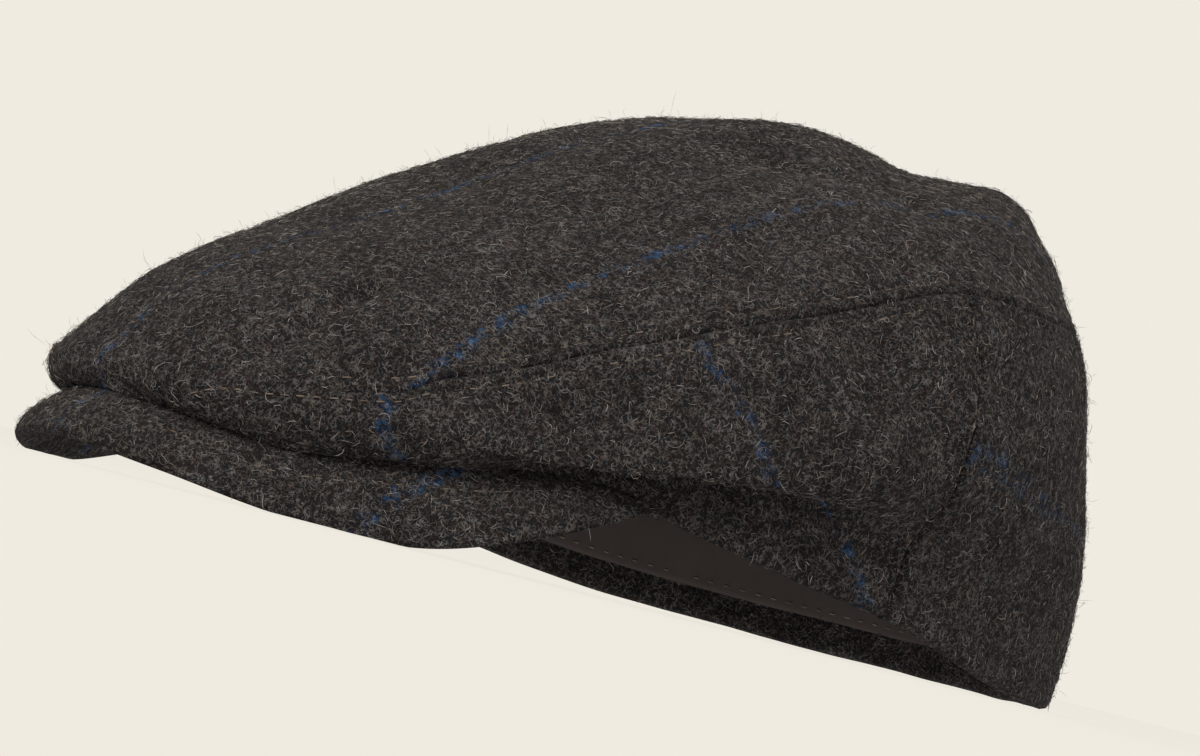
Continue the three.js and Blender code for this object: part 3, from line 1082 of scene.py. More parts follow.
def tubes(name: str, paths: Array, radius: Array, sides: int,
          values: dict[str, Array]) -> bpy.types.Object:
    """Makes many short closed strands with pointed ends at once.

    Args:
        name: Name of the piece.
        paths: Points of each strand, by strand and step.
        radius: Radius at each step of each strand, apart from its pointed ends.
        sides: Corners round a strand.
        values: Named numbers for each strand.

    Returns:
        One object with all the strands.
    """
    count, steps = paths.shape[:2]
    along = unit(np.gradient(paths, axis=1))
    helper = np.where(np.abs(along[..., 2:]) < 0.9, [0.0, 0.0, 1.0], [1.0, 0.0, 0.0])
    side = unit(np.cross(along, helper))
    other = np.cross(along, side)
    turn = (np.arange(sides) * 2 * math.pi / sides)[:, None]
    offset = side[:, :, None] * np.cos(turn) + other[:, :, None] * np.sin(turn)
    rings = (paths[:, :, None] + offset * radius[:, :, None, None])[:, 1:-1]
    points = np.concatenate([paths[:, :1], rings.reshape(count, -1, 3), paths[:, -1:]], 1)
    each = points.shape[1]
    first = each * np.arange(count)[:, None]
    number = first[:, :, None] + 1 + np.arange(each - 2).reshape(steps - 2, sides)
    after = np.roll(number, -1, 2)
    walls = np.stack([number[:, :-1], after[:, :-1], after[:, 1:], number[:, 1:]], -1).reshape(-1, 4)
    root, tip = (np.broadcast_to(first + at, (count, sides)) for at in (0, each - 1))
    roots = np.stack([root, after[:, 0], number[:, 0]], -1)
    tips = np.stack([number[:, -1], after[:, -1], tip], -1)
    faces = [walls, np.concatenate([roots, tips]).reshape(-1, 3)]
    spread = {label: np.repeat(v, each) for label, v in values.items()}
    return new_object(name, points.reshape(-1, 3), faces, spread)


@dataclass(frozen=True)
class StitchRow:
    """A row of stitches along a line on the cloth, in millimetres.

    The nap hides a share of the stitches, which grows along the row from the first to the second number
    of hidden_share. The arch gives the share of the way and the share of the height at each bend.
    """

    length: float = 2.2
    pitch: float = 3.4
    thread: float = 0.16
    lift: float = 0.2
    sink: float = 0.22
    hidden: float = 0.32
    hidden_share: Span = (0.12, 0.96)
    fade_from: float = 45.0
    fade_to: float = 80.0
    pitch_spread: float = 0.12
    length_spread: Span = (0.85, 1.1)
    lift_spread: float = 0.06
    arch: tuple[Span, ...] = ((0.18, 0.6), (0.5, 1.0), (0.82, 0.6))
    seed: int = 5

    def paths(self, points: Array, normals: Array) -> Array:
        """Paths of the stitches, which come up out of the cloth and go down again.

        Args:
            points: Line on the cloth.
            normals: Outward directions along it.

        Returns:
            Five points for each stitch.
        """
        length = lengths(points)
        starts = np.arange(self.pitch / 2, length[-1] - self.pitch, self.pitch)
        count = len(starts)
        rng = np.random.default_rng(self.seed)
        starts = starts + rng.normal(0, self.pitch_spread, count)
        reach = self.length * rng.uniform(*self.length_spread, count)
        high = self.lift + rng.normal(0, self.lift_spread, count)
        least, most = self.hidden_share
        covered = least + (most - least) * smoothstep(starts, self.fade_from, self.fade_to)
        high = high - self.hidden * (rng.uniform(size=count) < covered)
        steps = []
        for share, rise in ((0.0, -self.sink), *self.arch, (1.0, -self.sink)):
            at = starts + reach * share
            level = high * rise if rise > 0 else np.minimum(high, 0) + rise
            place, out = (np.stack([np.interp(at, length, line[:, k]) for k in range(3)], -1)
                          for line in (points, normals))
            steps.append(place + unit(out) * level[:, None])
        return np.stack(steps, 1)


StitchLine = tuple[StitchRow, Array, Array]


def stitch_piece(name: str, lines: Sequence[StitchLine]) -> bpy.types.Object:
    """Makes one piece from several rows of stitches."""
    paths = np.concatenate([row.paths(points, normals) for row, points, normals in lines])
    return tubes(name, paths, np.full(paths.shape[:2], lines[0][0].thread), STITCH_SIDES, {})


@dataclass(frozen=True)
class HairField:
    """Loose hairs on a cloth, in millimetres: most lie flat and curl, a few stand up.

    They are drawn thicker than real ones so that they show. Lean and droop are slopes at the root and
    the tip, curls are turns in radians at each bend, and length_shape and shades shape the beta draws.
    """

    density: float = 0.5
    shortest: float = 1.3
    longest: float = 5.5
    length_shape: Span = (1.3, 3.6)
    radius: float = 0.065
    thinnest: float = 0.75
    thicker: float = 0.4
    lowest: float = 0.1
    root_depth: float = 0.1
    lean_least: float = 0.04
    lean_spread: float = 0.12
    standing: float = 0.05
    standing_lean: float = 3.0
    droop: float = -0.3
    bends: int = 3
    curl: float = 0.0
    curl_spread: float = 0.85
    curl_change: Span = (0.5, 1.5)
    shades: Span = (0.6, 1.7)
    seed: int = 11

    def grow(self, name: str, sheet: Sheet, rows: slice,
             columns: slice = slice(None)) -> bpy.types.Object:
        """Makes the hairs of one cloth.

        Args:
            name: Name of the piece.
            sheet: The cloth.
            rows: The rows of the cloth that show.
            columns: The columns that the piece takes.

        Returns:
            One object with all the hairs.
        """
        rng = np.random.default_rng(self.seed)
        grid, normals = sheet.outer[rows], sheet.normals()[rows]
        if sheet.ring_shaped:
            grid, normals = (np.concatenate([g, g[:, :1]], 1) for g in (grid, normals))
        grid, normals = grid[:, columns], normals[:, columns]
        corner, right, above = grid[:-1, :-1], grid[:-1, 1:], grid[1:, :-1]
        area = np.linalg.norm(np.cross(right - corner, above - corner), axis=-1)
        count = int(area.sum() * self.density)
        one_each = (count, 1)
        cell = rng.choice(area.size, count, p=area.ravel() / area.sum())
        j, i = np.unravel_index(cell, area.shape)
        u, v = rng.uniform(size=(2, count, 1))
        weights = [(1 - u) * (1 - v), u * (1 - v), u * v, (1 - u) * v]
        at = [(j, i), (j, i + 1), (j + 1, i + 1), (j + 1, i)]
        root = sum(w * grid[k] for w, k in zip(weights, at))
        out = unit(sum(w * normals[k] for w, k in zip(weights, at)))
        flat = unit(np.cross(out, rng.normal(size=(count, 3))))
        cross = np.cross(out, flat)
        length = rng.beta(*self.length_shape, one_each)
        length = self.shortest + (self.longest - self.shortest) * length
        lean = np.abs(rng.normal(0.0, self.lean_spread, one_each)) + self.lean_least
        lean = lean * np.where(rng.uniform(size=one_each) < self.standing, self.standing_lean, 1.0)
        turn = rng.normal(self.curl, self.curl_spread, one_each) * rng.choice([-1, 1], one_each)
        place, heading = root - self.root_depth * out, np.zeros(one_each)
        steps = [place]
        for rise in np.linspace(1.0, self.droop, self.bends):
            way = flat * np.cos(heading) + cross * np.sin(heading) + out * lean * rise
            place = place + length / self.bends * way
            steps.append(place)
            heading = heading + turn * rng.uniform(*self.curl_change, one_each)
        paths = np.stack(steps, 1)
        paths[:, 1:] += self.root_depth * out[:, None]
        paths[..., 2] = np.maximum(paths[..., 2], self.lowest)
        shade = rng.beta(*self.shades, count)
        radius = self.radius * (self.thinnest + self.thicker * shade)[:, None]
        values = {"shade": shade, "warmth": rng.uniform(size=count)}
        return tubes(name, paths, np.repeat(radius, self.bends + 1, axis=1), HAIR_SIDES, values)


@dataclass(frozen=True)
class LongCurls(HairField):
    """The longest hairs on a cloth, few and pale, which curl round in open loops."""

    density: float = 0.012
    shortest: float = 3.5
    longest: float = 9.0
    radius: float = 0.052
    bends: int = 7
    curl: float = 0.7
    curl_spread: float = 0.25
    shades: Span = (1.6, 1.8)


@dataclass(frozen=True)
class NapFuzz(HairField):
    """Short fine fibres that stand out of the brushed cloth and soften its outline."""

    density: float = 0.12
    shortest: float = 0.8
    longest: float = 2.8
    radius: float = 0.036
    lean_least: float = 0.5
    lean_spread: float = 0.45
    droop: float = 0.5
    bends: int = 2
    shades: Span = (1.2, 1.6)


class Weave(Enum):
    """How a cloth lies on its piece, which sets where its stripes run."""

    TOP = "front to back over the top"
    SIDE = "slanting down the side"
    BACK = "round the back"


@dataclass(frozen=True)
class StripePlan:
    """Where the crown's stripes run.

    A side line is given by its angle, its slant in degrees for each ring, and the ring at that angle. The
    back line is given by its ring, its fall in rings for each degree, and the angle at that ring.
    """

    top_shift: float = 3.0
    side_first: Triple = (25.5, 1.2, 2.42)
    side_second: Triple = (56.0, 12.0, 2.96)
    side_last: float = 85.0
    back_line: Triple = (2.32, 0.0108, 93.0)
    ring_height: float = 26.0
    wall_radius: float = 95.0

    def lay(self, kind: Weave, angle: Array, ring: Array, points: Array) -> tuple[Array, Array]:
        """Coordinates of the cloth: across its stripes, and across its twill ribs.

        Args:
            kind: How the cloth lies.
            angle: Angle of each point.
            ring: Ring number of each point.
            points: The points.

        Returns:
            Both coordinates in millimetres.
        """
        x, y = points[..., 0], points[..., 1]
        if kind is Weave.TOP:
            return x + self.top_shift, (x + y) * DIAGONAL
        around = folded_angle(angle)
        twill = (np.radians(around) * self.wall_radius + lengths(points)) * DIAGONAL
        if kind is Weave.SIDE:
            first, second = (at + slant * (level - ring)
                             for at, slant, level in (self.side_first, self.side_second))
            across = STRIPE_SPACING * (around - first) / (second - first)
            return np.minimum(across, self.side_last), twill
        level, fall, at = self.back_line
        return (ring - (level - fall * (np.mod(angle, 360) - at))) * self.ring_height, twill


@dataclass(frozen=True)
class SeamProfile:
    """Relief beside a seam in millimetres: a tucked edge, a full seam allowance, a stitched dip and puckers.

    The full strip and the dip are given by height, distance from the seam and half width. The shares say
    how much of the relief shows round the cap, with angles in degrees.
    """

    half_gap: float = 0.15
    tuck: float = 0.75
    tuck_change: float = 0.2
    tuck_wave: float = 16.0
    tuck_width: float = 0.65
    tuck_seed: int = 40
    full: Triple = (0.38, 1.9, 1.0)
    dip: Triple = (0.28, 3.5, 0.6)
    pucker: float = 0.16
    pucker_wave: float = 7.5
    pucker_fade: float = 5.0
    pucker_starts: Span = (0.3, 1.2)
    starts: Span = (7.0, 12.0)
    first_share: float = 0.3
    grows: Span = (14.0, 30.0)
    back_loss: float = 0.4
    fades: Span = (95.0, 130.0)

    def height(self, away: Array, points: Array, seed: int) -> Array:
        """Height of the cloth beside a seam.

        Args:
            away: Distance from the cloth's edge in millimetres.
            points: Places on the cloth.
            seed: Start of the random draws.

        Returns:
            Height at each place.
        """
        away = away + self.half_gap
        change = self.tuck_change * ripple(points, self.tuck_wave, seed + self.tuck_seed)
        edge = (change - self.tuck) * hump(away, 0, self.tuck_width)
        full, dip = (high * hump(away, middle, width) for high, middle, width in (self.full, self.dip))
        pucker = self.pucker * ripple(points, self.pucker_wave, seed) * np.exp(-away / self.pucker_fade)
        return edge + (full - dip) + pucker * smoothstep(away, *self.pucker_starts)

    def share(self, angle: Array) -> Array:
        """How much shows: little at the front, where the seam starts, and less round the back.

        Args:
            angle: Angles in degrees.

        Returns:
            One share for each angle.
        """
        around = folded_angle(angle)
        grown = self.first_share + (1 - self.first_share) * smoothstep(around, *self.grows)
        kept = 1 - self.back_loss * smoothstep(around, *self.fades)
        return smoothstep(around, *self.starts) * grown * kept


@dataclass
class Crown:
    """The crown in millimetres: a top, two sides and a back of cloth, with seams, hem, stitches and hairs.

    Rows and columns of stitches are counted in the cloth's grid, and each seed starts one set of draws.
    """

    finishes: Finishes
    stripes: StripePlan = StripePlan()
    seam: SeamProfile = SeamProfile()
    cloth: float = 1.9
    front_cloth: float = 1.1
    front_ends: Span = (25.0, 60.0)
    front_rings: Span = (2.6, 3.4)
    hem: float = 3.9
    hem_depth: float = 6.0
    hem_step: float = 1.4
    hem_starts: float = 10.0
    hem_flat: float = 3.0
    tip_angle: float = 7.0
    near_seam: tuple[float, ...] = (0.0, 0.45, 0.9, 1.4, 2.0, 2.7, 3.4, 4.1, 5.0, 6.5)
    near_hem: tuple[float, ...] = (0.0, 0.6, 1.3, 2.2, 3.4, 4.8, 6.2, 7.6)
    near_apex: Span = (0.0, 3.0)
    near_upright: Span = (0.25, 0.6)
    top_rows: int = 56
    wall_rows: int = 44
    top_seed: int = 21
    wall_seed: int = 22
    upright_seed: int = 23
    upright_relief: float = 1.4
    stitched_from: float = 20.0
    top_stitch_row: int = 6
    wall_stitch_row: int = -8
    upright_columns: tuple[int, int] = (-4, 3)
    upright_margin: int = 6
    least_wall: float = 6.0
    hair_seed: int = 31
    half_seed: int = 20
    curl_seed: int = 61
    hem_seed: int = 81
    fuzz_seed: int = 91
    sheets: dict[str, Sheet] = field(default_factory=dict)

    def shell(self, node: str, kind: Weave, angle: Array, ring: Array, points: Array, thickness: Array,
              whole: bool = False) -> None:
        """Keeps a panel's cloth with both its faces, and makes its piece.

        Args:
            node: Name of its solid.
            kind: How its cloth lies.
            angle: Angle of each grid point.
            ring: Ring number of each grid point.
            points: Outer face.
            thickness: Thickness at each grid point.
            whole: Whether it goes all the way round and closes at the apex.
        """
        stripe, twill = self.stripes.lay(kind, angle, ring, points)
        inner = points - grid_normals(points, whole) * thickness[..., None]
        sheet = Sheet(points, inner, stripe, twill, ring_shaped=whole, pole=whole)
        self.sheets[node] = sheet
        self.finishes.wool.dress(sheet.to_object(node.replace("_panel", "_cloth")), node)

    def make_top(self) -> None:
        """Makes the top cloth, whose rows start at the seam and close at the apex."""
        angles = GRID.angles(-180, 180)[:-1]
        apex = np.full_like(angles, FORM.apex_ring)
        ring = GRID.rings(angles, FORM.seam_ring(angles), apex, self.near_seam, self.near_apex,
                          self.top_rows)
        angle = np.broadcast_to(angles, ring.shape)
        points = FORM.crown(angle, ring)
        points[-1] = points[-1].mean(0)
        relief = self.seam.height(lengths(points), points, self.top_seed) * self.seam.share(angle)
        points = points + grid_normals(points, ring_shaped=True) * relief[..., None]
        front = 1 - smoothstep(folded_angle(angle), *self.front_ends)
        low = front * (1 - smoothstep(ring, *self.front_rings))
        thickness = self.cloth + (self.front_cloth - self.cloth) * low
        self.shell("top_panel", Weave.TOP, angle, ring, points, thickness, whole=True)

    def make_wall(self, node: str, kind: Weave, start: float, stop: float) -> None:
        """Makes a side or back cloth between two angles.

        Args:
            node: Name of its solid.
            kind: How its cloth lies.
            start: Angle of its first column.
            stop: Angle of its last column.
        """
        whole = GRID.angles(start, stop)
        close = (whole[1] - whole[0]) * np.array(self.near_upright)
        first, last = whole[0] + close, whole[-1] - close[::-1]
        angles = np.concatenate([whole[:1], first, whole[1:-1], last, whole[-1:]])
        free = smoothstep(folded_angle(angles), FORM.rim_free, FORM.rim_free + self.hem_starts)
        lift = (self.front_cloth + (self.hem - self.front_cloth) * free) / 2
        ring = GRID.rings(angles, np.zeros_like(angles), FORM.seam_ring(angles), self.near_hem,
                          self.near_seam, self.wall_rows, lift)
        angle = np.broadcast_to(angles, ring.shape)
        points = FORM.crown(angle, ring)
        foot = lengths(points)
        relief = self.seam.height(foot[-1] - foot, points, self.wall_seed) * self.seam.share(angle)
        radius = np.hypot(points[..., 0], points[..., 1] - FORM.centre_y)
        for end in (start, stop):
            if folded_angle(end) > FORM.rim_free:
                beside = np.radians(np.abs(angle - end)) * radius
                upright = self.seam.height(beside, points, self.upright_seed)
                relief = relief + self.upright_relief * upright
        relief = relief * smoothstep(foot, 0, self.hem_flat)
        points = points + grid_normals(points) * relief[..., None]
        front = 1 - smoothstep(folded_angle(angle), *self.front_ends)
        turned = 1 - smoothstep(foot, self.hem_depth, self.hem_depth + self.hem_step)
        thickness = (self.cloth + (self.hem - self.cloth) * free * turned
                     + (self.front_cloth - self.cloth) * front)
        self.shell(node, kind, angle, ring, points, thickness)

    def seam_lines(self) -> list[StitchLine]:
        """Lines of stitches along both sides of the seams, most of them hidden by the nap further back.

        Returns:
            The kind of row, the points and the outward directions of each line.
        """
        columns = GRID.angles(-180, 180)[:-1]
        points, normals = self.sheets["top_panel"].row_line(self.top_stitch_row)
        lines, uprights = [], []
        for way in (1, -1):
            part = columns * way > self.stitched_from
            lines.append((StitchRow(fade_from=0, fade_to=30), points[part][::way], normals[part][::way]))
        for name, way, column in zip(("left", "right"), (1, -1), self.upright_columns):
            sheet = self.sheets["side_panel_" + name]
            tall = np.linalg.norm(sheet.outer[-1] - sheet.outer[0], axis=-1) > self.least_wall
            points, normals = sheet.row_line(self.wall_stitch_row)
            lines.append((StitchRow(), points[tall][::way], normals[tall][::way]))
            between = slice(self.upright_margin, -self.upright_margin)
            points, normals = (grid[between, column] for grid in (sheet.outer, sheet.normals()))
            uprights.append((StitchRow(fade_from=-30, fade_to=0), points, normals))
        return lines + uprights

    def hem_hairs(self, node: str, sheet: Sheet, seed: int) -> bpy.types.Object:
        """Grows hairs on the inside of the turned-up hem, where it is free of the peak.

        Args:
            node: Name of the wall's solid.
            sheet: The wall's cloth.
            seed: Start of the random draws.

        Returns:
            One object with all the hairs.
        """
        foot = sheet.outer[0]
        around = np.degrees(np.arctan2(foot[:, 0], FORM.centre_y - foot[:, 1]))
        free = np.flatnonzero(folded_angle(around) > FORM.rim_free)
        rows, columns = slice(0, len(self.near_hem)), slice(free[0], free[-1] + 1)
        inside, outside = (face[rows, columns][:, ::-1] for face in (sheet.inner, sheet.outer))
        turned = Sheet(inside, outside, inside[..., 0], inside[..., 1])
        return HairField(seed=seed).grow(node.replace("panel", "hem_hairs"), turned, slice(None))

    def make_hairs(self, number: int, node: str, sheet: Sheet) -> None:
        """Grows the hairs, curls and fuzz of one panel, the top's hairs in two halves.

        Args:
            number: Place of the panel in the order of making.
            node: Name of its solid.
            sheet: Its cloth.
        """
        wear = self.finishes.hair.dress
        if sheet.pole:
            middle = sheet.outer.shape[1] // 2
            rows, parts = slice(2, -1), {"_right": slice(0, middle + 1), "_left": slice(middle, None)}
        else:
            rows, parts = slice(0, -3), {"": slice(3, -3)}
        for place, (part, columns) in enumerate(parts.items()):
            hairs = HairField(seed=self.hair_seed + number + self.half_seed * place)
            wear(hairs.grow(node.replace("panel", "hairs") + part, sheet, rows, columns))
        if not sheet.pole:
            wear(self.hem_hairs(node, sheet, self.hem_seed + number))
        curls, fuzz = LongCurls(seed=self.curl_seed + number), NapFuzz(seed=self.fuzz_seed + number)
        for label, hairs in (("curls", curls), ("fuzz", fuzz)):
            wear(hairs.grow(node.replace("panel", label), sheet, slice(2, -3)))

    def build(self) -> None:
        """Makes all of the crown's cloth, its stitches and its hairs."""
        back = FORM.back_seam
        self.make_top()
        self.make_wall("side_panel_left", Weave.SIDE, self.tip_angle, back)
        self.make_wall("side_panel_right", Weave.SIDE, -back, -self.tip_angle)
        self.make_wall("back_panel", Weave.BACK, back, 360 - back)
        self.finishes.thread.dress(stitch_piece("crown_topstitch", self.seam_lines()))
        for number, (node, sheet) in enumerate(self.sheets.items()):
            self.make_hairs(number, node, sheet)


class PeakFace(Enum):
    """The faces of the peak's two cloths, from above."""

    TOP = "top of the upper cloth"
    UPPER_INSIDE = "hidden face of the upper cloth"
    UNDER_INSIDE = "hidden face of the under cloth"
    BOTTOM = "bottom of the under cloth"


@dataclass
class Peak:
    """The peak in millimetres: an upper and an under cloth over a hidden stiffener.

    Shares are parts of the way from its edge to the head opening.
    """

    finishes: Finishes
    column_step: float = 0.8
    near_edge: tuple[float, ...] = (0.0, 0.004, 0.012, 0.024, 0.04, 0.06)
    rows_from: float = 0.085
    rows: int = 34
    gap: float = 0.3
    gap_share: float = 0.25
    wrap: Span = (0.03, 0.15)
    wrap_depth: float = 0.6
    lowest: float = 0.0
    wave: float = 0.12
    wavelength: float = 22.0
    wave_seed: int = 8
    wave_starts: Span = (0.05, 0.2)
    stripe_shift: float = 1.5
    stitches: StitchRow = StitchRow(seed=7, fade_to=200)
    stitch_out: float = 4.2
    stitched_to: float = 46.0
    hair_rows: int = 32

    def face(self, kind: PeakFace) -> tuple[Array, Array, Array]:
        """Grid over the peak, from its edge in to the head opening.

        Args:
            kind: Which of the four faces.

        Returns:
            Angles, shares of the way in, and points.
        """
        angles = np.linspace(-FORM.peak_end, FORM.peak_end, int(2 * FORM.peak_end / self.column_step))
        share = np.concatenate([self.near_edge, np.linspace(self.rows_from, 1, self.rows)])
        angle, share = np.broadcast_arrays(angles[None], share[:, None])
        flat = angle.ravel()
        edge = even_spline(PEAK_SECTIONS, flat)[:, EDGE_RADIUS]
        radius = edge + (FORM.rim(flat)[0] - FORM.cloth - edge) * share.ravel()
        middle, half = FORM.peak_middle(flat, radius), FORM.peak_half_at(flat, radius)
        wrapped = 1 - smoothstep(share.ravel(), *self.wrap)
        split, gap = middle - self.wrap_depth * half * wrapped, np.minimum(self.gap, self.gap_share * half)
        heights = {PeakFace.TOP: middle + half, PeakFace.UPPER_INSIDE: split + gap / 2,
                   PeakFace.UNDER_INSIDE: split - gap / 2, PeakFace.BOTTOM: middle - half}
        points = FORM.place(flat, radius, np.maximum(self.lowest, heights[kind]))
        return angle, share, points.reshape(*angle.shape, 3)

    def sheet(self, outer: PeakFace, inner: PeakFace, wave: float) -> Sheet:
        """One of the peak's two cloths, with gentle waves on its outer face.

        Args:
            outer: Its upper face.
            inner: Its lower face.
            wave: Height of the waves.

        Returns:
            The cloth.
        """
        _, share, points = self.face(outer)
        fade = smoothstep(share, *self.wave_starts)
        points[..., 2] += wave * ripple(points, self.wavelength, self.wave_seed) * fade
        x, y = points[..., 0], points[..., 1]
        return Sheet(points, self.face(inner)[2], x + self.stripe_shift, (x - y) * DIAGONAL)

    def stitch_line(self, sheet: Sheet) -> tuple[Array, Array]:
        """The line of stitches beside the crown's foot.

        Args:
            sheet: The upper cloth.

        Returns:
            Points and outward directions along it.
        """
        angle, share, _ = self.face(PeakFace.TOP)
        columns = np.where(np.abs(angle[0]) < self.stitched_to)[0]
        at = angle[0, columns]
        edge = even_spline(PEAK_SECTIONS, at)[:, EDGE_RADIUS]
        radius = even_spline(SECTIONS, at)[:, FOOT_RADIUS] + self.stitch_out
        wanted = (edge - radius) / (edge - FORM.rim(at)[0] + FORM.cloth)
        points, normals = (np.array([[np.interp(w, share[:, i], grid[:, i, k]) for k in range(3)]
                                     for w, i in zip(wanted, columns)])
                           for grid in (sheet.outer, sheet.normals()))
        return points, unit(normals)

    def build(self) -> None:
        """Makes both cloths, the stitches along the crown's foot and the hairs."""
        upper = self.sheet(PeakFace.TOP, PeakFace.UPPER_INSIDE, self.wave)
        under = self.sheet(PeakFace.UNDER_INSIDE, PeakFace.BOTTOM, 0.0)
        self.finishes.wool.dress(upper.to_object("peak_upper_cloth"), "peak_upper")
        self.finishes.wool.dress(under.to_object("peak_under_cloth"), "peak_under")
        line = (self.stitches, *self.stitch_line(upper))
        self.finishes.thread.dress(stitch_piece("peak_topstitch", [line]))
        kinds = {"hairs": HairField(seed=41), "curls": LongCurls(seed=71), "fuzz": NapFuzz(seed=101)}
        for label, kind in kinds.items():
            self.finishes.hair.dress(kind.grow("peak_upper_" + label, upper, slice(self.hair_rows)))


@dataclass
class Sweatband:
    """The band inside the head opening, in millimetres, with a row of stitches near its lower edge.

    Shares are parts of its height.
    """

    finishes: Finishes
    column_step: float = 1.2
    low_rows: tuple[float, ...] = (0.0, 0.025, 0.055, 0.09)
    middle_rows: tuple[float, float, int] = (0.16, 0.93, 10)
    high_rows: Span = (0.97, 1.0)
    thickness: float = 1.4
    height: float = 26.0
    round_length: float = 560.0
    front_foot: float = -2.5
    side_foot: float = 8.0
    clear: float = 0.6
    lean: float = 1.4
    rises: Span = (42.0, 55.0)
    stitches: StitchRow = StitchRow(length=1.6, pitch=3.8, fade_from=1000, fade_to=1001, seed=6)
    stitch_row: int = 2

    def face(self, inset: float) -> tuple[Array, Array]:
        """Grid over one of the band's faces.

        Args:
            inset: How far the face lies inside the outer one.

        Returns:
            Points, and the height of each above the band's lower edge.
        """
        angles = np.linspace(-180, 180, int(360 / self.column_step), endpoint=False)
        share = np.concatenate([self.low_rows, np.linspace(*self.middle_rows), self.high_rows])[:, None]
        radius, rim = FORM.rim(angles)
        free = smoothstep(folded_angle(angles), *self.rises)
        foot = np.maximum(0, rim) + self.front_foot + (self.side_foot - self.front_foot) * free
        rise = share * self.height
        inner = radius - FORM.cloth - self.clear - inset - share * self.lean
        angle = np.broadcast_to(angles, inner.shape)
        return FORM.place(angle, inner, foot + rise), np.broadcast_to(rise, inner.shape)

    def build(self) -> None:
        """Makes the band and its stitches."""
        outer, rise = self.face(0.0)
        inner, _ = self.face(self.thickness)
        around = np.broadcast_to(np.linspace(0, self.round_length, outer.shape[1]), rise.shape)
        sheet = Sheet(outer, inner, around, rise, ring_shaped=True)
        self.finishes.cotton.dress(sheet.to_object("sweatband_strip"), "sweatband")
        line = (self.stitches, inner[self.stitch_row], -sheet.normals()[self.stitch_row])
        # These stitches wear the lighter copy of the thread, painted light against the hollow's shade.
        self.finishes.band_thread_painted_lighter.dress(stitch_piece("sweatband_stitches", [line]))


@dataclass(frozen=True)
class SoftLight:
    """A round soft light, in metres and watts."""

    name: str
    place: Triple
    size: float
    power: float
    colour: str

    def hang(self, target: Vector) -> None:
        """Hangs the light so that it faces the cap.

        Args:
            target: The place that it faces.
        """
        data = bpy.data.lights.new(self.name, "AREA")
        data.shape, data.size, data.energy = "DISK", self.size, self.power
        data.color = linear(self.colour)[:3]
        lamp = bpy.data.objects.new(self.name, data)
        lamp.location = self.place
        lamp.rotation_euler = (target - Vector(self.place)).to_track_quat("-Z", "Y").to_euler()
        bpy.context.scene.collection.objects.link(lamp)


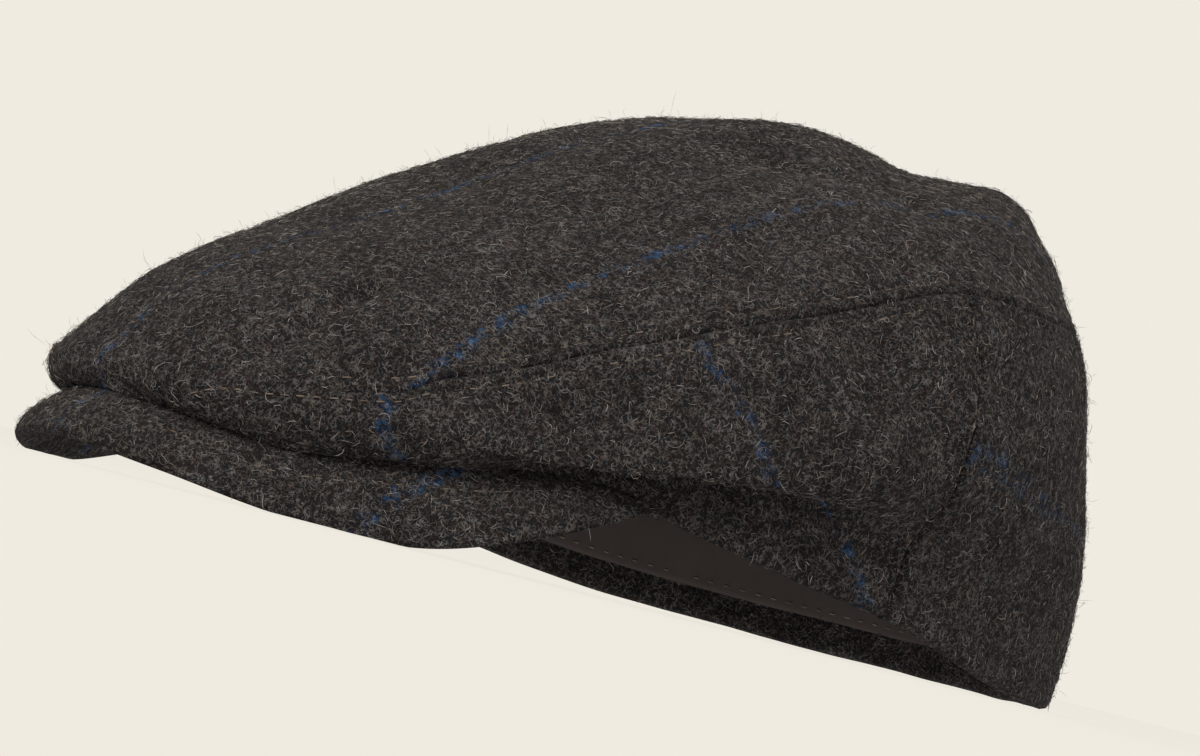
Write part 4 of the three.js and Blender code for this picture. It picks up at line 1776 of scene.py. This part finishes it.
@dataclass(frozen=True)
class Studio:
    """Plain pale floor, soft light and a camera at the photo's angle, in metres and degrees."""

    azimuth: float = 51.5
    roll: float = 14.5
    distance: float = 1.8
    height: float = 0.004
    target: Triple = (0.0029, 0.0036, 0.0471)
    view_width: float = 0.2676
    sensor: float = 36.0
    clip: Span = (0.01, 60.0)
    floor_rings: tuple[float, ...] = (0.3, 0.8, 2.0, 5.0, 9.0)
    floor_corners: int = 96
    floor_drop: float = 0.0003
    floor: PaleFloor = PaleFloor()
    key: SoftLight = SoftLight("soft_key", (0.75, -1.42, 1.42), 1.3, 17.8, "#fffdf8")
    fill: SoftLight = SoftLight("soft_fill", (1.9, 0.5, 0.8), 1.4, 2.8, "#f4f7ff")
    room: str = "#edecea"
    room_rises: Span = (-0.3, 0.6)
    room_light: Span = (0.5, 0.62)

    def place_camera(self) -> None:
        """Places the camera just above the floor, turned about its axis as in the photo."""
        lift = (self.height - self.target[2]) / self.distance
        level = math.sqrt(1 - lift * lift)
        a, turn = math.radians(self.azimuth), math.radians(self.roll)
        back = Vector((math.sin(a) * level, -math.cos(a) * level, lift))
        right = Vector((math.cos(a), math.sin(a), 0))
        up = back.cross(right)
        rolled_right = right * math.cos(turn) + up * math.sin(turn)
        rolled_up = up * math.cos(turn) - right * math.sin(turn)
        data = bpy.data.cameras.new("photo_camera")
        data.sensor_width = self.sensor
        data.lens = self.sensor * self.distance / self.view_width
        data.clip_start, data.clip_end = self.clip
        camera = bpy.data.objects.new("photo_camera", data)
        axes = Matrix((rolled_right, rolled_up, back)).transposed().to_4x4()
        camera.matrix_world = Matrix.Translation(Vector(self.target) + back * self.distance) @ axes
        bpy.context.scene.collection.objects.link(camera)
        bpy.context.scene.camera = camera

    def lay_floor(self) -> None:
        """Lays the floor as a wide round plate."""
        rings = np.array(self.floor_rings)[:, None] / MM
        turn = np.linspace(0, 2 * math.pi, self.floor_corners, endpoint=False)
        x, y = rings * np.cos(turn), rings * np.sin(turn)
        points = np.stack([x, y, np.full(x.shape, -self.floor_drop / MM)], -1).reshape(-1, 3)
        number = np.arange(len(points)).reshape(x.shape)
        after = np.roll(number, -1, 1)
        walls = np.stack([number[:-1], number[1:], after[1:], after[:-1]], -1).reshape(-1, 4)
        plate = new_object("studio_floor", points, [walls, number[:1]], {})
        plate.data.materials.append(self.floor.material("matt_painted_floor"))
        plate.visible_diffuse = plate.visible_glossy = plate.visible_shadow = False

    def surroundings(self) -> bpy.types.World:
        """A pale room that gives more light from above than from below.

        Returns:
            The world.
        """
        world = bpy.data.worlds.new("pale_room")
        world.use_nodes = True
        tree = world.node_tree
        tree.nodes.clear()
        way = add_node(tree, "TexCoord", output="Generated")
        rise = add_node(tree, "SeparateXYZ", {0: way}, "Z")
        (low, high), (least, most) = self.room_rises, self.room_light
        level = add_node(tree, "MapRange", {0: rise, 1: low, 2: high, 3: least, 4: most})
        seen = add_node(tree, "LightPath", output="Is Camera Ray")
        level = add_node(tree, "Mix", {0: seen, 2: level, 3: 1.0})
        colour = add_node(tree, "Mix", {0: seen, 6: linear(self.room), 7: linear(self.floor.colour)}, 2,
                          data_type="RGBA")
        glow = add_node(tree, "Background", {"Color": colour, "Strength": level})
        add_node(tree, "OutputWorld", {"Surface": glow})
        return world

    def build(self) -> None:
        """Sets up floor, lights, surroundings and camera."""
        scene = bpy.context.scene
        scene.view_settings.view_transform = "Standard"
        self.place_camera()
        self.lay_floor()
        for light in (self.key, self.fill):
            light.hang(Vector(self.target))
        scene.world = self.surroundings()


def main() -> None:
    """Builds the cap and its studio."""
    logging.basicConfig(level=logging.INFO)
    # Painted light: the band's stitches use the same spun thread in lighter colours, which stand in for light
    # that the shaded hollow inside the band lacks.
    band_thread_painted_lighter = SpunThread(colour="#a8947c", darker="#86745f")
    finishes = Finishes(
        wool=Dressing(WoolTwill().material("brushed_wool_twill"), Slot.WOOL),
        cotton=Dressing(BandCotton().material("pressed_cotton_weave"), Slot.COTTON),
        thread=Dressing(SpunThread().material("spun_sewing_thread"), Slot.WOOL),
        band_thread_painted_lighter=Dressing(band_thread_painted_lighter.material("spun_band_thread"), Slot.COTTON),
        hair=Dressing(WoolHair().material("loose_wool_fibre"), Slot.WOOL),
    )
    Studio().build()
    Crown(finishes).build()
    Peak(finishes).build()
    Sweatband(finishes).build()


if __name__ == "__main__":
    main()
